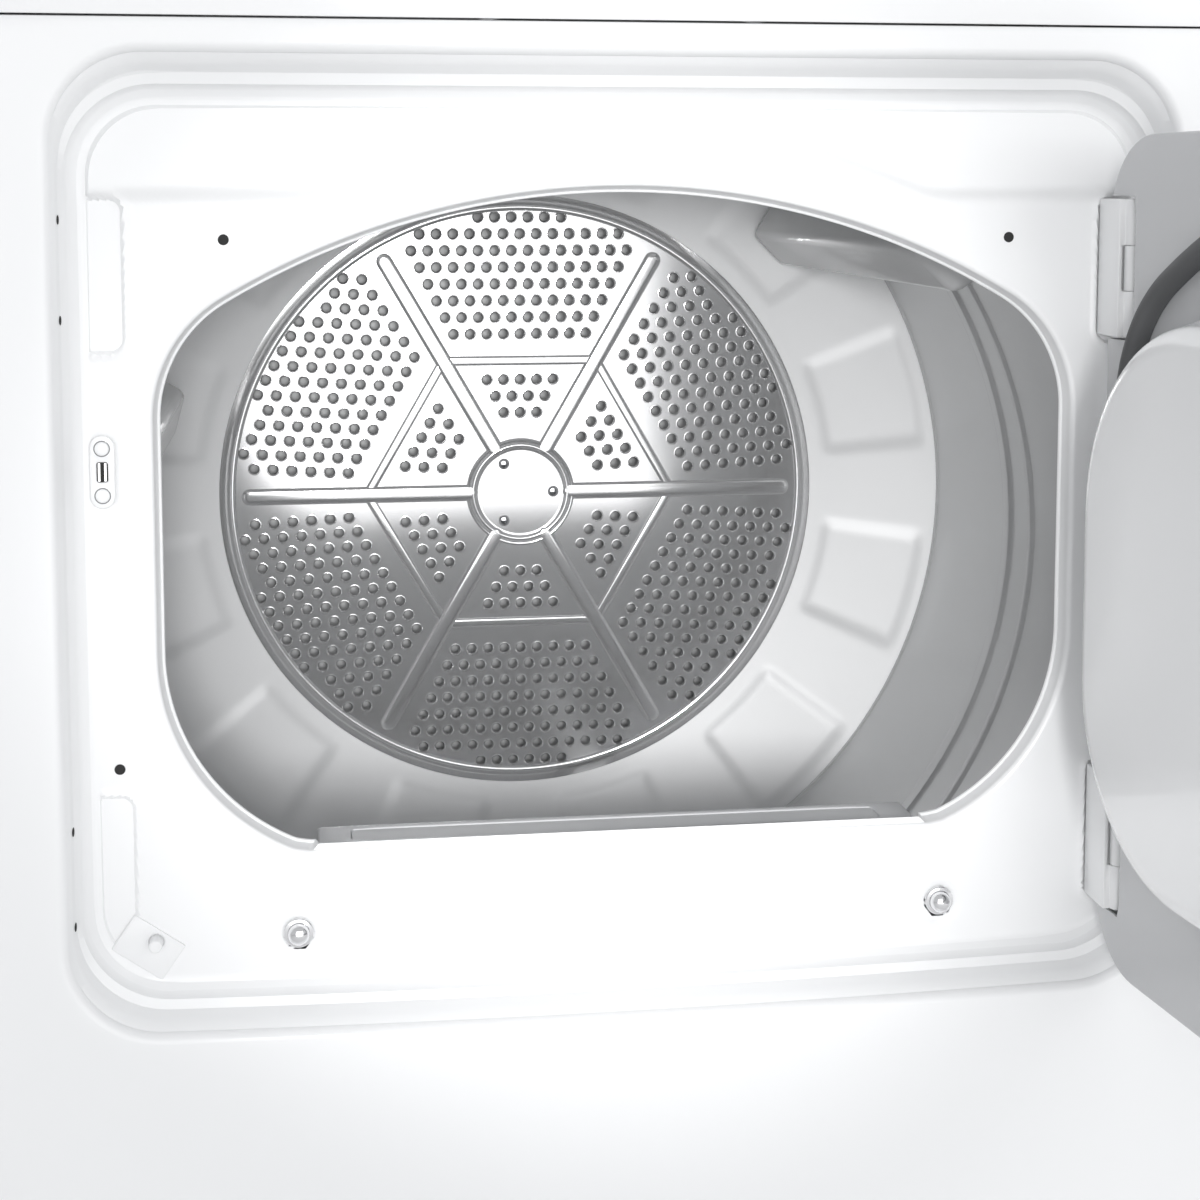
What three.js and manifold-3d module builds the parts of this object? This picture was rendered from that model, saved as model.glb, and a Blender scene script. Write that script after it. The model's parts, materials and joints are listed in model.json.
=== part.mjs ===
// Front-loading vented clothes dryer, 27 inch class, with its door standing open.
// Millimetres, +Z up, +X to the right of a person facing the door, +Y from the front to the back.
// Everything is drawn with Y = 0 on the floor of the front panel's door recess, X = 0 on the
// drum axis and Z = 0 on the ground. The last lines move the origin below the middle of the box.

import * as THREE from 'three';
import { mergeVertices } from 'three/addons/utils/BufferGeometryUtils.js';
import Module from 'manifold-3d';

const wasm = await Module();
wasm.setup();

// ---- driving dimensions ----
const gap = 0.3;                     // left between pieces that touch
const sheet = 1.5;                   // cabinet sheet steel
const cabinetWidth = 686;
const cabinetDepth = 626;            // front face to rear face
const worktopHeight = 914;
const topPanelHeight = 36;
const baseHeight = 20;               // underside of the base pan above the ground
const recessDepth = 26;
const recessHalfWidth = 278;
const recessTop = 861;
const recessBottom = 384;
const recessCornerRadius = 44;
const recessSideDraft = 4;
const recessTopDraft = 14;
const recessBottomDraft = 11;
const axisHeight = 564;              // drum axis above the ground
const openingHalfWidth = 234.5;
const openingTop = 798;
const sillHeight = 464;
const sillHalfWidth = 161;
const openingTopRadius = 393;
const openingUpperRadius = 70;
const openingLowerRadius = 110;
const openingLipDepth = 10;
const drumRadius = 325;              // inside
const drumSheet = 1;
const drumFront = 15;
const drumRear = 511;                // where the cylinder meets the rear cone
const coneDepth = 27;
const rearPlateRadius = 228.5;
const ribWidth = 13;
const ribHeight = 2.5;
const ribTipRadius = 212;
const hexagonRadius = 117.5;
const hubRadius = 41;
const baffleHeight = 62;
const baffleWidth = 66;
const baffleCrest = 34;
const baffleFront = 62;
const baffleAngles = [45, 165, 285];
const shaftRadius = 12;
const bearingRadius = 24;
const flangeClearance = 11.5;        // between the front bulkhead's flange and the drum
const beltPlane = 322;               // middle of the belt's width
const beltWidth = 14;
const beltThickness = 2;
const beltClearance = 2;             // over the drum's outside, at the belt's middle
const motorX = 150;
const motorHeight = 150;
const motorRadius = 62;
const motorShaftRadius = 6;
const pulleyRadius = 14;
const idlerRadius = 20;
const idlerAxleRadius = 4;
const idlerPivotX = 110;
const idlerPivotHeight = 60;
const idlerRunShare = 0.23;          // of the slack run, from the motor pulley
const blowerRadius = 74;
const blowerWidth = 44;
const bladeCount = 10;
const blowerHousingRadius = 92;
const blowerHousingDepth = 66;
const blowerInletRadius = 55;
const exhaustRadius = 50.8;          // 4 inch duct
const exhaustWall = 1.3;
const exhaustHeight = 110;
const exhaustStub = 14;              // behind the rear panel
const filterCapClearance = 3;        // each side, in the sill
const filterCapRear = 42;
const filterBladeInset = 8;
const filterBladeDepth = 240;
const filterBladeThickness = 7;
const ductMargin = 5;                // beyond the sill's flat part
const hingeInset = 22;               // hinge axis from the recess wall
const hingeProud = 1;                // hinge axis in front of the front face
const hingeSpread = 149.25;          // from the door's middle height
const hingeLeafHeight = 70;
const hingePinRadius = 3;
const knuckleRadius = 5.5;
const doorOpenAngle = 95.5;          // from closed, at rest
const doorHeight = 433;
const doorHingeGap = 5;              // from the door's edges to the recess walls
const doorGripGap = 10.5;
const doorFootGap = 7;
const doorInset = 4.2;               // inner face behind the cabinet's front face, closed
const doorThickness = 18;
const doorCornerEase = 2;            // door corners are this much tighter than the recess
const doorEdgeRadius = 11;
const doorSheet = 1.2;
const plugSideGap = 17.5;            // from the plug's root to the opening
const plugFootDrop = 0.5;            // the plug's root reaches below the sill line
const plugHalfHeight = 141.5;
const plugDepth = 48;
const plugCornerRadius = 100;
const plugTaper = 6.5;
const gasketWidth = 9;
const gasketGap = 5;                 // from the opening's edge to the gasket
const strikeInset = 19;              // from the recess wall
const strikeHeight = 659;
const strikeWidth = 12;
const strikeLength = 36;
const switchInset = 36;              // from the recess wall
const switchRise = 34.5;             // above the recess's lower edge
const switchAngle = 35;
const switchLength = 30;
const switchWidth = 21;
const switchButtonRadius = 3.3;
const switchButtonReach = 8;
const chromeScrewX = 167.5;
const chromeScrewHeight = 422;
const consoleHeight = 159;
const consoleFront = 452;            // foot of the sloped fascia
const consoleRear = 588;
const consoleTopFront = 520;
const consoleCap = 12;
const timerKnobRadius = 31;
const timerKnobX = 176;
const dialKnobRadius = 21;
const dialKnobX = -96;
const startButtonRadius = 15;
const startButtonX = -208;
const knobStemRadius = 6;
const footRadius = 18;
const footPad = 8;
const footInset = 48;
const stemRadius = 5;

// ---- derived places ----
const halfWidth = cabinetWidth / 2;
const frontY = -recessDepth;
const rearY = frontY + cabinetDepth;
const topPanelBottom = worktopHeight - topPanelHeight;
const frontPanelTop = topPanelBottom - 0.8;
const plateY = drumRear + coneDepth;            // front side of the drum's rear plate
const drumOuter = drumRadius + drumSheet;
const flangeRadius = drumRadius - flangeClearance;
const filterCapHalfWidth = sillHalfWidth - filterCapClearance;
const filterBladeHalfWidth = filterCapHalfWidth - filterBladeInset;
const ductHalfWidth = sillHalfWidth + ductMargin;
const doorRight = recessHalfWidth - doorHingeGap;
const doorLeft = doorGripGap - recessHalfWidth;
const doorBottom = recessBottom + doorFootGap;
const doorTop = doorBottom + doorHeight;
const doorMiddle = (doorBottom + doorTop) / 2;
const doorInnerFace = frontY + doorInset;
const doorCornerRadius = recessCornerRadius - doorCornerEase;
const hingeX = recessHalfWidth - hingeInset;
const hingeY = frontY - hingeProud;
const hingeHeights = [doorMiddle + hingeSpread, doorMiddle - hingeSpread];
const plugHalfWidth = openingHalfWidth - plugSideGap;
const plugHeight = sillHeight - plugFootDrop + plugHalfHeight;
const strikeX = strikeInset - recessHalfWidth;
const switchX = switchInset - recessHalfWidth;
const switchHeight = recessBottom + switchRise;
const panelBack = sheet;                        // rear side of the recess floor
const motorFront = panelBack + 138;
const motorRear = beltPlane - beltWidth / 2 - 14;
const blowerFront = panelBack + 46.5;
const beltRadius = drumOuter + beltClearance;
const drumSegments = 48;
const midSegments = 28;
const smallSegments = 16;
const fasciaTilt = Math.atan2(consoleHeight - 14, consoleTopFront - consoleFront);

const white = { color: 0xf2f2f2, roughness: 0.35, metalness: 0.0 };
const drumGrey = { color: 0xb4b5b7, roughness: 0.42, metalness: 0.6 };
const bright = { color: 0xc9cacc, roughness: 0.18, metalness: 1.0 };
const zinc = { color: 0x9fa3a6, roughness: 0.45, metalness: 0.9 };
const darkRubber = { color: 0x2c2d2f, roughness: 0.8, metalness: 0.0 };
const felt = { color: 0x8d8f8c, roughness: 0.95, metalness: 0.0 };
const paleGrey = { color: 0xd3d4d5, roughness: 0.45, metalness: 0.0 };
const whitePlastic = { color: 0xededec, roughness: 0.4, metalness: 0.0 };
const greyPlastic = { color: 0x6d7073, roughness: 0.5, metalness: 0.0 };

// ---- building blocks ----
function toSolid(geometry) {
  const bare = geometry.clone();
  for (const name of Object.keys(bare.attributes)) {
    if (name !== 'position') bare.deleteAttribute(name);
  }
  const merged = mergeVertices(bare, 1e-4);
  const vertProperties = new Float32Array(merged.attributes.position.array);
  const corners = [];
  const index = merged.index.array;
  for (let i = 0; i < index.length; i += 3) {
    const [a, b, c] = [index[i], index[i + 1], index[i + 2]];
    if (a !== b && b !== c && a !== c) corners.push(a, b, c);
  }
  const triVerts = new Uint32Array(corners);
  return new wasm.Manifold(new wasm.Mesh({ numProp: 3, vertProperties, triVerts }));
}

function toGeometry(solid) {
  const mesh = solid.getMesh();
  const geometry = new THREE.BufferGeometry();
  geometry.setAttribute('position', new THREE.BufferAttribute(mesh.vertProperties, 3));
  geometry.setIndex(new THREE.BufferAttribute(mesh.triVerts, 1));
  geometry.computeVertexNormals();
  return geometry;
}

const union = (first, ...rest) => rest.reduce((a, b) => a.add(b), first);
const minus = (first, ...rest) => rest.reduce((a, b) => a.subtract(b), first);

function mesh(name, solid, finish, parent) {
  const material = new THREE.MeshStandardMaterial(finish);
  const piece = new THREE.Mesh(toGeometry(solid), material);
  piece.name = name;
  parent.add(piece);
  return piece;
}

function box(x0, x1, y0, y1, z0, z1) {
  const geometry = new THREE.BoxGeometry(x1 - x0, y1 - y0, z1 - z0);
  geometry.translate((x0 + x1) / 2, (y0 + y1) / 2, (z0 + z1) / 2);
  return toSolid(geometry);
}

function signedArea(points) {
  return THREE.ShapeUtils.area(points.map(([x, y]) => new THREE.Vector2(x, y)));
}

const counterClockwise = (points) => (signedArea(points) < 0 ? [...points].reverse() : points);

// An outline of [x, z] points pushed from y0 to y1.
function plateAlongY(outline, y0, y1) {
  return loft([{ y: y0, outline }, { y: y1, outline }]);
}

// An outline of [y, z] points pushed from x0 to x1.
function plateAlongX(outline, x0, x1) {
  const shape = new THREE.Shape(outline.map(([y, z]) => new THREE.Vector2(y, z)));
  const geometry = new THREE.ExtrudeGeometry(shape, { depth: x1 - x0, bevelEnabled: false });
  geometry.rotateX(Math.PI / 2);
  geometry.rotateZ(Math.PI / 2);
  geometry.translate(x0, 0, 0);
  return toSolid(geometry);
}

// A closed body through [x, z] outlines of equal count at rising y.
function loft(sections) {
  const outlines = sections.map(({ outline }) => counterClockwise(outline));
  const count = outlines[0].length;
  const positions = [];
  const index = [];
  sections.forEach(({ y }, s) => outlines[s].forEach(([x, z]) => positions.push(x, y, z)));
  for (let s = 0; s + 1 < sections.length; s += 1) {
    for (let i = 0; i < count; i += 1) {
      const a = s * count + i;
      const b = s * count + ((i + 1) % count);
      index.push(a, b + count, b, a, a + count, b + count);
    }
  }
  const flat = outlines.map((outline) => outline.map(([x, z]) => new THREE.Vector2(x, z)));
  const last = (sections.length - 1) * count;
  for (const [a, b, c] of THREE.ShapeUtils.triangulateShape(flat[0], [])) index.push(a, b, c);
  for (const [a, b, c] of THREE.ShapeUtils.triangulateShape(flat[flat.length - 1], [])) {
    index.push(last + a, last + c, last + b);
  }
  const geometry = new THREE.BufferGeometry();
  geometry.setAttribute('position', new THREE.Float32BufferAttribute(positions, 3));
  geometry.setIndex(index);
  return toSolid(geometry);
}

// A profile of [radius, y] points turned about the line x, z parallel to Y.
function turnAboutY(profile, x, z, segments = 32) {
  const points = counterClockwise(profile).map(([r, y]) => new THREE.Vector2(r, y));
  const closed = profile.every(([r]) => r > 0);
  if (closed) points.push(points[0].clone());
  else while (points[0].x > 0 || points[points.length - 1].x > 0) points.push(points.shift());
  const geometry = new THREE.LatheGeometry(points, segments);
  geometry.translate(x, 0, z);
  return toSolid(geometry);
}

const disc = (radius, y0, y1, x, z, segments) =>
  turnAboutY([[0, y0], [radius, y0], [radius, y1], [0, y1]], x, z, segments);
const ring = (inner, outer, y0, y1, x, z, segments) =>
  turnAboutY([[inner, y0], [outer, y0], [outer, y1], [inner, y1]], x, z, segments);

function upright(radius, x, y, z0, z1, segments = smallSegments) {
  const geometry = new THREE.CylinderGeometry(radius, radius, z1 - z0, segments);
  geometry.rotateX(Math.PI / 2);
  geometry.translate(x, y, (z0 + z1) / 2);
  return toSolid(geometry);
}

function arc(cx, cz, radius, from, to, steps) {
  const points = [];
  for (let i = 0; i <= steps; i += 1) {
    const angle = THREE.MathUtils.degToRad(from + ((to - from) * i) / steps);
    points.push([cx + radius * Math.cos(angle), cz + radius * Math.sin(angle)]);
  }
  return points;
}

function roundedRectangle(x0, x1, z0, z1, radius, steps = 5) {
  const r = Math.min(radius, (x1 - x0) / 2 - 0.01, (z1 - z0) / 2 - 0.01);
  return [
    ...arc(x1 - r, z0 + r, r, -90, 0, steps),
    ...arc(x1 - r, z1 - r, r, 0, 90, steps),
    ...arc(x0 + r, z1 - r, r, 90, 180, steps),
    ...arc(x0 + r, z0 + r, r, 180, 270, steps),
  ];
}

const pill = (x, z, width, height, steps = 6) =>
  roundedRectangle(x - width / 2, x + width / 2, z - height / 2, z + height / 2, width / 2, steps);

// Door opening: arched top, round upper corners, straight sides, swept lower corners, flat sill.
function openingOutline(grow = 0) {
  const half = openingHalfWidth + grow;
  const archRadius = openingTopRadius + grow;
  const archCentre = openingTop - openingTopRadius;
  const corner = openingUpperRadius + grow;
  const cornerX = half - corner;
  const cornerZ = archCentre + Math.sqrt((archRadius - corner) ** 2 - cornerX ** 2);
  const archEnd = THREE.MathUtils.radToDeg(Math.atan2(cornerZ - archCentre, cornerX));
  const lower = openingLowerRadius + grow;
  const lowerX = half - lower;
  const lowerZ = sillHeight - grow + 102 + grow;
  const right = [
    [sillHalfWidth, sillHeight - grow],
    ...arc(lowerX, lowerZ, lower, -66, 0, 6),
    ...arc(cornerX, cornerZ, corner, 0, archEnd, 5),
    ...arc(0, archCentre, archRadius, archEnd, 90, 7).slice(1, -1),
  ];
  const left = right.map(([x, z]) => [-x, z]).reverse();
  return [...right, [0, archCentre + archRadius], ...left];
}

const recessOutline = (depthShare, grow = 0) => roundedRectangle(
  -recessHalfWidth + recessSideDraft * depthShare - grow,
  recessHalfWidth - recessSideDraft * depthShare + grow,
  recessBottom + recessBottomDraft * depthShare - grow,
  recessTop - recessTopDraft * depthShare + grow,
  recessCornerRadius + grow,
);

const dryer = new THREE.Group();

// ---- cabinet ----
function makeFrontPanel() {
  const faceOutline = roundedRectangle(-halfWidth, halfWidth, baseHeight, frontPanelTop, 3, 2);
  const face = plateAlongY(faceOutline, frontY, frontY + sheet);
  const pan = loft([
    { y: frontY, outline: recessOutline(0, sheet) },
    { y: panelBack, outline: recessOutline(1, sheet) },
  ]);
  const hollow = loft([
    { y: frontY - 1, outline: recessOutline(0) },
    { y: 0, outline: recessOutline(1) },
  ]);
  const lip = minus(
    plateAlongY(openingOutline(sheet), 0, openingLipDepth),
    box(-filterCapHalfWidth - 2.5, filterCapHalfWidth + 2.5, 3, 60, sillHeight - 40, sillHeight + 20),
  );
  const catchSlot = plateAlongY(pill(strikeX, strikeHeight, strikeWidth - 4, 14), -5, 5);
  const switchHole = switchBlock(-1, 5, 0.5);
  const doorway = plateAlongY(openingOutline(), -5, openingLipDepth + 5);
  const screwHoles = [-chromeScrewX, chromeScrewX].map((x) =>
    disc(2.8, -5, 5, x, chromeScrewHeight, 12));
  const solid = minus(union(face, pan), hollow).add(lip);
  mesh('front_panel', minus(solid, doorway, catchSlot, switchHole, ...screwHoles), white, dryer);
}

function makeSidePanels() {
  for (const [name, side] of [['left_side_panel', -1], ['right_side_panel', 1]]) {
    const outer = side * halfWidth;
    const inner = side * (halfWidth - sheet);
    const [x0, x1] = [Math.min(outer, inner), Math.max(outer, inner)];
    const y0 = frontY + sheet + gap;
    const y1 = rearY - sheet - gap;
    const skin = box(x0, x1, y0, y1, baseHeight, frontPanelTop);
    const hem = side * (halfWidth - 16);
    const [f0, f1] = [Math.min(hem, outer), Math.max(hem, outer)];
    const flange = box(f0, f1, y1 - sheet, y1, baseHeight, frontPanelTop);
    mesh(name, skin.add(flange), white, dryer);
  }
}

function makeTopPanel() {
  const y0 = frontY - 0.5;
  const skirtTop = worktopHeight - sheet;
  const block = roundedTop(y0, rearY);
  const inside = box(-halfWidth + sheet, halfWidth - sheet, y0 + sheet, rearY - sheet, 0, skirtTop);
  mesh('top_panel', minus(block, inside), white, dryer);
}

function roundedTop(y0, y1) {
  const edge = 8;
  const outline = [
    [y0, topPanelBottom],
    [y1, topPanelBottom],
    ...arc(y1 - edge, worktopHeight - edge, edge, 0, 90, 4),
    ...arc(y0 + edge, worktopHeight - edge, edge, 90, 180, 4),
  ];
  return plateAlongX(outline, -halfWidth, halfWidth);
}

function makeRearPanel() {
  const plate = box(-halfWidth, halfWidth, rearY - sheet, rearY, baseHeight, frontPanelTop);
  const vent = disc(exhaustRadius + 1.5, rearY - 5, rearY + 5, 0, exhaustHeight, midSegments);
  const terminal = box(-232, -168, rearY - 5, rearY + 5, 700, 780);
  const louvres = [0, 1, 2, 3, 4, 5].map((row) =>
    box(120, 280, rearY - 5, rearY + 5, 90 + 18 * row, 97 + 18 * row));
  mesh('rear_panel', minus(plate, vent, terminal, ...louvres), zinc, dryer);
  const cover = union(
    box(-246, -154, rearY + gap, rearY + 2, 690, 790),
    box(-240, -160, rearY + 1, rearY + 12, 694, 786),
  );
  const hollow = box(-238, -162, rearY - 1, rearY + 10, 696, 784);
  const inlet = upright(14, -200, rearY + 5.5, 680, 700);
  mesh('terminal_cover', minus(cover, hollow, inlet.intersect(
    box(-240, -160, rearY + gap, rearY + 10, 680, 800))), zinc, dryer);
}

function makeBase() {
  const x = halfWidth - sheet - gap;
  const y0 = frontY + sheet + gap;
  const y1 = rearY - sheet - 2 * gap - sheet;
  const tray = box(-x, x, y0, y1, baseHeight, baseHeight + 30);
  const hollow = box(-x + sheet, x - sheet, y0 + sheet, y1 - sheet, baseHeight + sheet, baseHeight + 40);
  const holes = footPlaces().map(([fx, fy]) => upright(stemRadius + 1, fx, fy, 0, 60));
  mesh('base_pan', minus(tray, hollow, ...holes), zinc, dryer);
}

function footPlaces() {
  const x = halfWidth - footInset;
  return [
    [-x, frontY + footInset],
    [x, frontY + footInset],
    [-x, rearY - footInset],
    [x, rearY - footInset],
  ];
}

function makeFeet() {
  const names = ['foot_front_left', 'foot_front_right', 'foot_rear_left', 'foot_rear_right'];
  footPlaces().forEach(([x, y], i) => {
    const pad = upright(footRadius, x, y, 0, footPad, smallSegments);
    const nut = upright(11, x, y, footPad - 1, footPad + 7, 6);
    const stem = upright(stemRadius, x, y, footPad, baseHeight + 32);
    mesh(names[i], union(pad, nut, stem), darkRubber, dryer);
  });
}

// ---- control console ----
const fascia = new THREE.Group();

function consoleProfile(inset) {
  const z0 = worktopHeight + gap;
  const top = worktopHeight + consoleHeight - inset;
  const slopeTop = worktopHeight + consoleHeight - 14;
  const back = consoleRear;
  const lift = inset / Math.sin(fasciaTilt);
  return [
    [consoleFront + lift, z0],
    [consoleTopFront + lift * 0.9, slopeTop - inset * 0.4],
    [consoleTopFront + 7 + inset * 0.7, top - 4 + inset * 0.3],
    [consoleTopFront + 18, top],
    [back, top],
    [back, z0],
  ].map(([y, z]) => [y, z]).reverse();
}

function makeConsole() {
  const x = halfWidth - 3 - consoleCap;
  const shell = minus(
    plateAlongX(consoleProfile(0), -x, x),
    plateAlongX(consoleProfile(2.5), -x - 5, x + 5),
    box(-x - 5, x + 5, consoleRear - 1, consoleRear + 5, 0, worktopHeight + consoleHeight - 2.5),
    ...fasciaHoles(),
  );
  const floor = box(-x, x, consoleRear - 60, consoleRear - 6, worktopHeight + gap, worktopHeight + 3);
  mesh('console_fascia', shell, white, dryer);
  const backPlate = box(-x + 1, x - 1, consoleRear - 4, consoleRear - 2, worktopHeight + gap,
    worktopHeight + consoleHeight - 3);
  mesh('console_rear_cover', backPlate.add(floor.add(box(-x + 1, x - 1, consoleRear - 8,
    consoleRear - 3, worktopHeight + gap, worktopHeight + 3))), zinc, dryer);
  for (const [name, side] of [['console_cap_left', -1], ['console_cap_right', 1]]) {
    const a = side * (x + gap);
    const b = side * (x + consoleCap);
    const cap = plateAlongX(consoleProfile(-1.5), Math.min(a, b), Math.max(a, b));
    mesh(name, cap.intersect(box(-400, 400, 0, consoleRear + 2, worktopHeight + gap, 1200)),
      whitePlastic, dryer);
  }
}

const fasciaMiddleY = (consoleFront + consoleTopFront) / 2;
const fasciaMiddleZ = worktopHeight + (consoleHeight - 14) / 2;
fascia.position.set(0, fasciaMiddleY, fasciaMiddleZ);
fascia.rotation.x = fasciaTilt;

// Turned about X so that local +Z leaves the fascia at a right angle.
function onFascia(solid) {
  const degrees = THREE.MathUtils.radToDeg(fasciaTilt);
  return solid.rotate([degrees, 0, 0]).translate([0, fasciaMiddleY, fasciaMiddleZ]);
}

function post(radius, x, z0, z1, segments = smallSegments) {
  return upright(radius, x, 0, z0, z1, segments);
}

function fasciaHoles() {
  return [
    [timerKnobX, knobStemRadius + 0.6],
    [dialKnobX, knobStemRadius + 0.6],
    [startButtonX, startButtonRadius + 0.7],
  ].map(([x, radius]) => onFascia(post(radius, x, -20, smallSegments)));
}

function knob(radius, x, height, stemReach) {
  const skirt = post(radius, x, 1.2, 5, 32);
  const grip = post(radius * 0.74, x, 4, height, 32);
  const bar = box(x - 4, x + 4, -radius * 0.95, radius * 0.74, height - 9, height + 3);
  return union(skirt, grip, bar, post(knobStemRadius, x, -stemReach, 3));
}

function makeControls() {
  mesh('timer_knob', knob(timerKnobRadius, timerKnobX, 22, 16), whitePlastic, fascia);
  mesh('temperature_knob', knob(dialKnobRadius, dialKnobX, 18, 12), whitePlastic, fascia);
  const button = post(startButtonRadius, startButtonX, -8, 9, 32);
  mesh('start_button', button.add(post(startButtonRadius + 3, startButtonX, -10, -7.5, 32)),
    whitePlastic, fascia);
}

// ---- front bulkhead, seal and glides ----
function makeFrontBulkhead() {
  const plate = disc(flangeRadius, 4, 4 + sheet, 0, axisHeight, drumSegments);
  const flange = ring(flangeRadius - sheet, flangeRadius, 4, 30, 0, axisHeight, drumSegments);
  const lipRoom = plateAlongY(openingOutline(sheet + 0.6), -5, smallSegments);
  const ductRoom = box(-ductHalfWidth - 1, ductHalfWidth + 1, -5, drumFront - 0.4, 100, sillHeight - 11);
  const capSide = filterCapHalfWidth + 4;
  const capRoom = box(-capSide, capSide, -5, 60, sillHeight - 20, sillHeight + 5);
  const switchRoom = switchBlock(-30, 40, 3);
  mesh('front_bulkhead', minus(plate.add(flange), lipRoom, ductRoom, capRoom, switchRoom), zinc, dryer);
  const seal = ring(flangeRadius + gap, drumRadius - 1, 16, 22, 0, axisHeight, drumSegments);
  mesh('front_felt_seal', seal, felt, dryer);
  for (const [name, angle] of [['drum_glide_left', 235], ['drum_glide_right', 305]]) {
    const outer = drumRadius - 1;
    const inner = flangeRadius + gap;
    const outline = [
      ...arc(0, axisHeight, outer, angle - 7, angle + 7, 6),
      ...arc(0, axisHeight, inner, angle + 7, angle - 7, 6),
    ];
    mesh(name, plateAlongY(outline, 23, 30), whitePlastic, dryer);
  }
}

// ---- drum ----
function makeDrum() {
  const shell = ring(drumRadius, drumOuter, drumFront, drumRear, 0, axisHeight, drumSegments);
  mesh('drum_shell', shell, drumGrey, dryer);
  const y0 = drumRear + gap;
  const y1 = plateY;
  const cone = turnAboutY([
    [drumRadius, y0], [drumOuter, y0], [drumOuter, y0 + 1.5], [rearPlateRadius + 3, y1 + drumSheet],
    [rearPlateRadius + gap, y1 + drumSheet], [rearPlateRadius + gap, y1], [drumRadius, y0 + 0.6],
  ], 0, axisHeight, drumSegments);
  mesh('drum_rear_cone', cone, drumGrey, dryer);
  const ribs = [0, 60, 120, 180, 240, 300].map((angle) => radialRib(angle));
  const sides = [0, 60, 120, 180, 240, 300].map((angle) => hexagonRib(angle));
  const hub = ring(hubRadius - 3, hubRadius, plateY - ribHeight, plateY + 0.5, 0, axisHeight, midSegments);
  const plate = disc(rearPlateRadius, plateY, plateY + drumSheet, 0, axisHeight, drumSegments);
  mesh('drum_rear_plate', union(plate, hub, ...ribs, ...sides), bright, dryer);
  const shaft = disc(shaftRadius, plateY + drumSheet + gap, rearY - 14, 0, axisHeight, smallSegments);
  const collar = disc(hubRadius, plateY + drumSheet + gap, plateY + 4, 0, axisHeight, midSegments);
  mesh('drum_shaft', shaft.add(collar), zinc, dryer);
}

function spoke(length, start, width, angle, y0, y1) {
  const bar = box(start, start + length, y0, y1, -width / 2, width / 2);
  return bar.rotate([0, -angle, 0]).translate([0, 0, axisHeight]);
}

function radialRib(angle) {
  const length = ribTipRadius - hubRadius + 2;
  return spoke(length, hubRadius - 2, ribWidth, angle, plateY - ribHeight, plateY + 0.5);
}

function hexagonRib(angle) {
  const apothem = hexagonRadius * Math.cos(Math.PI / 6);
  const bar = box(apothem - 4, apothem + 4, plateY - ribHeight + 1, plateY + 0.5,
    -hexagonRadius / 2, hexagonRadius / 2);
  return bar.rotate([0, -(angle + 30), 0]).translate([0, 0, axisHeight]);
}

function makeBaffles() {
  baffleAngles.forEach((angle, i) => {
    const base = drumRadius - 3;
    const crest = drumRadius - baffleHeight;
    const outline = [
      [base, -baffleWidth / 2], [base, baffleWidth / 2],
      [crest, baffleCrest / 2], [crest, -baffleCrest / 2],
    ];
    const rear = drumRear - 8;
    const foot = outline.map(([r, t]) => [r === crest ? crest + 26 : r, t]);
    const solid = loft([
      { y: baffleFront, outline: foot },
      { y: baffleFront + 26, outline },
      { y: rear, outline },
    ]);
    mesh(`drum_baffle_${i + 1}`, solid.rotate([0, -angle, 0]).translate([0, 0, axisHeight]),
      drumGrey, dryer);
  });
}

// ---- rear of the drum: diffuser, bearing, heater ----
function makeRear() {
  const front = plateY + drumSheet + 6;
  const rear = rearY - sheet - 3;
  const dish = minus(
    disc(rearPlateRadius + 22, front, rear, 0, axisHeight, drumSegments),
    disc(rearPlateRadius + 20, front - 1, rear - sheet, 0, axisHeight, drumSegments),
    disc(bearingRadius + gap, rear - 5, rear + 5, 0, axisHeight, midSegments),
    box(-60, 60, front + 8, rear - 6, axisHeight - rearPlateRadius - 40, axisHeight - 150),
  );
  mesh('heat_diffuser', dish, zinc, dryer);
  const sealRing = ring(rearPlateRadius + 10, rearPlateRadius + 22, plateY + drumSheet + 3, front - gap, 0,
    axisHeight, drumSegments);
  mesh('rear_felt_seal', sealRing, felt, dryer);
  const bearing = ring(shaftRadius + 0.4, bearingRadius, rear - 20, rear + 1, 0, axisHeight, smallSegments);
  mesh('rear_bearing', bearing, zinc, dryer);
  const top = axisHeight - rearPlateRadius - 23;
  const y0 = front + 4;
  const y1 = rear;
  const housing = minus(
    box(-75, 75, y0, y1, 185, top),
    box(-73.5, 73.5, y0 + 1.5, y1 - 1.5, 184, top + 1),
  );
  mesh('heater_housing', housing, zinc, dryer);
  const coil = box(-66, 66, y0 + 8, y1 - 8, 205, top - 20);
  const window = box(-56, 56, y0, y1, 215, top - 30);
  mesh('heater_element', minus(coil, window), darkRubber, dryer);
}

// ---- belt drive, motor and blower ----
const slackRun = (() => {
  const dx = motorX;
  const dz = motorHeight - axisHeight;
  const distance = Math.hypot(dx, dz);
  const lean = Math.acos((beltRadius - pulleyRadius) / distance);
  const heading = Math.atan2(dz, dx);
  return { distance, right: heading + lean, left: heading - lean };
})();

function beltOutline(grow) {
  const right = THREE.MathUtils.radToDeg(slackRun.right);
  const left = THREE.MathUtils.radToDeg(slackRun.left);
  return [
    ...arc(0, axisHeight, beltRadius + grow, right, left + 360, 40),
    ...arc(motorX, motorHeight, pulleyRadius + 2 * gap + grow, left, right, 8),
  ];
}

function idlerPlace() {
  const nx = Math.cos(slackRun.left);
  const nz = Math.sin(slackRun.left);
  const reach = pulleyRadius + beltThickness + 2 * gap + idlerRadius;
  const run = Math.sqrt(slackRun.distance ** 2 - (beltRadius - pulleyRadius) ** 2);
  const along = run * idlerRunShare;
  return [motorX + nx * reach + nz * along, motorHeight + nz * reach - nx * along];
}

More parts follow.
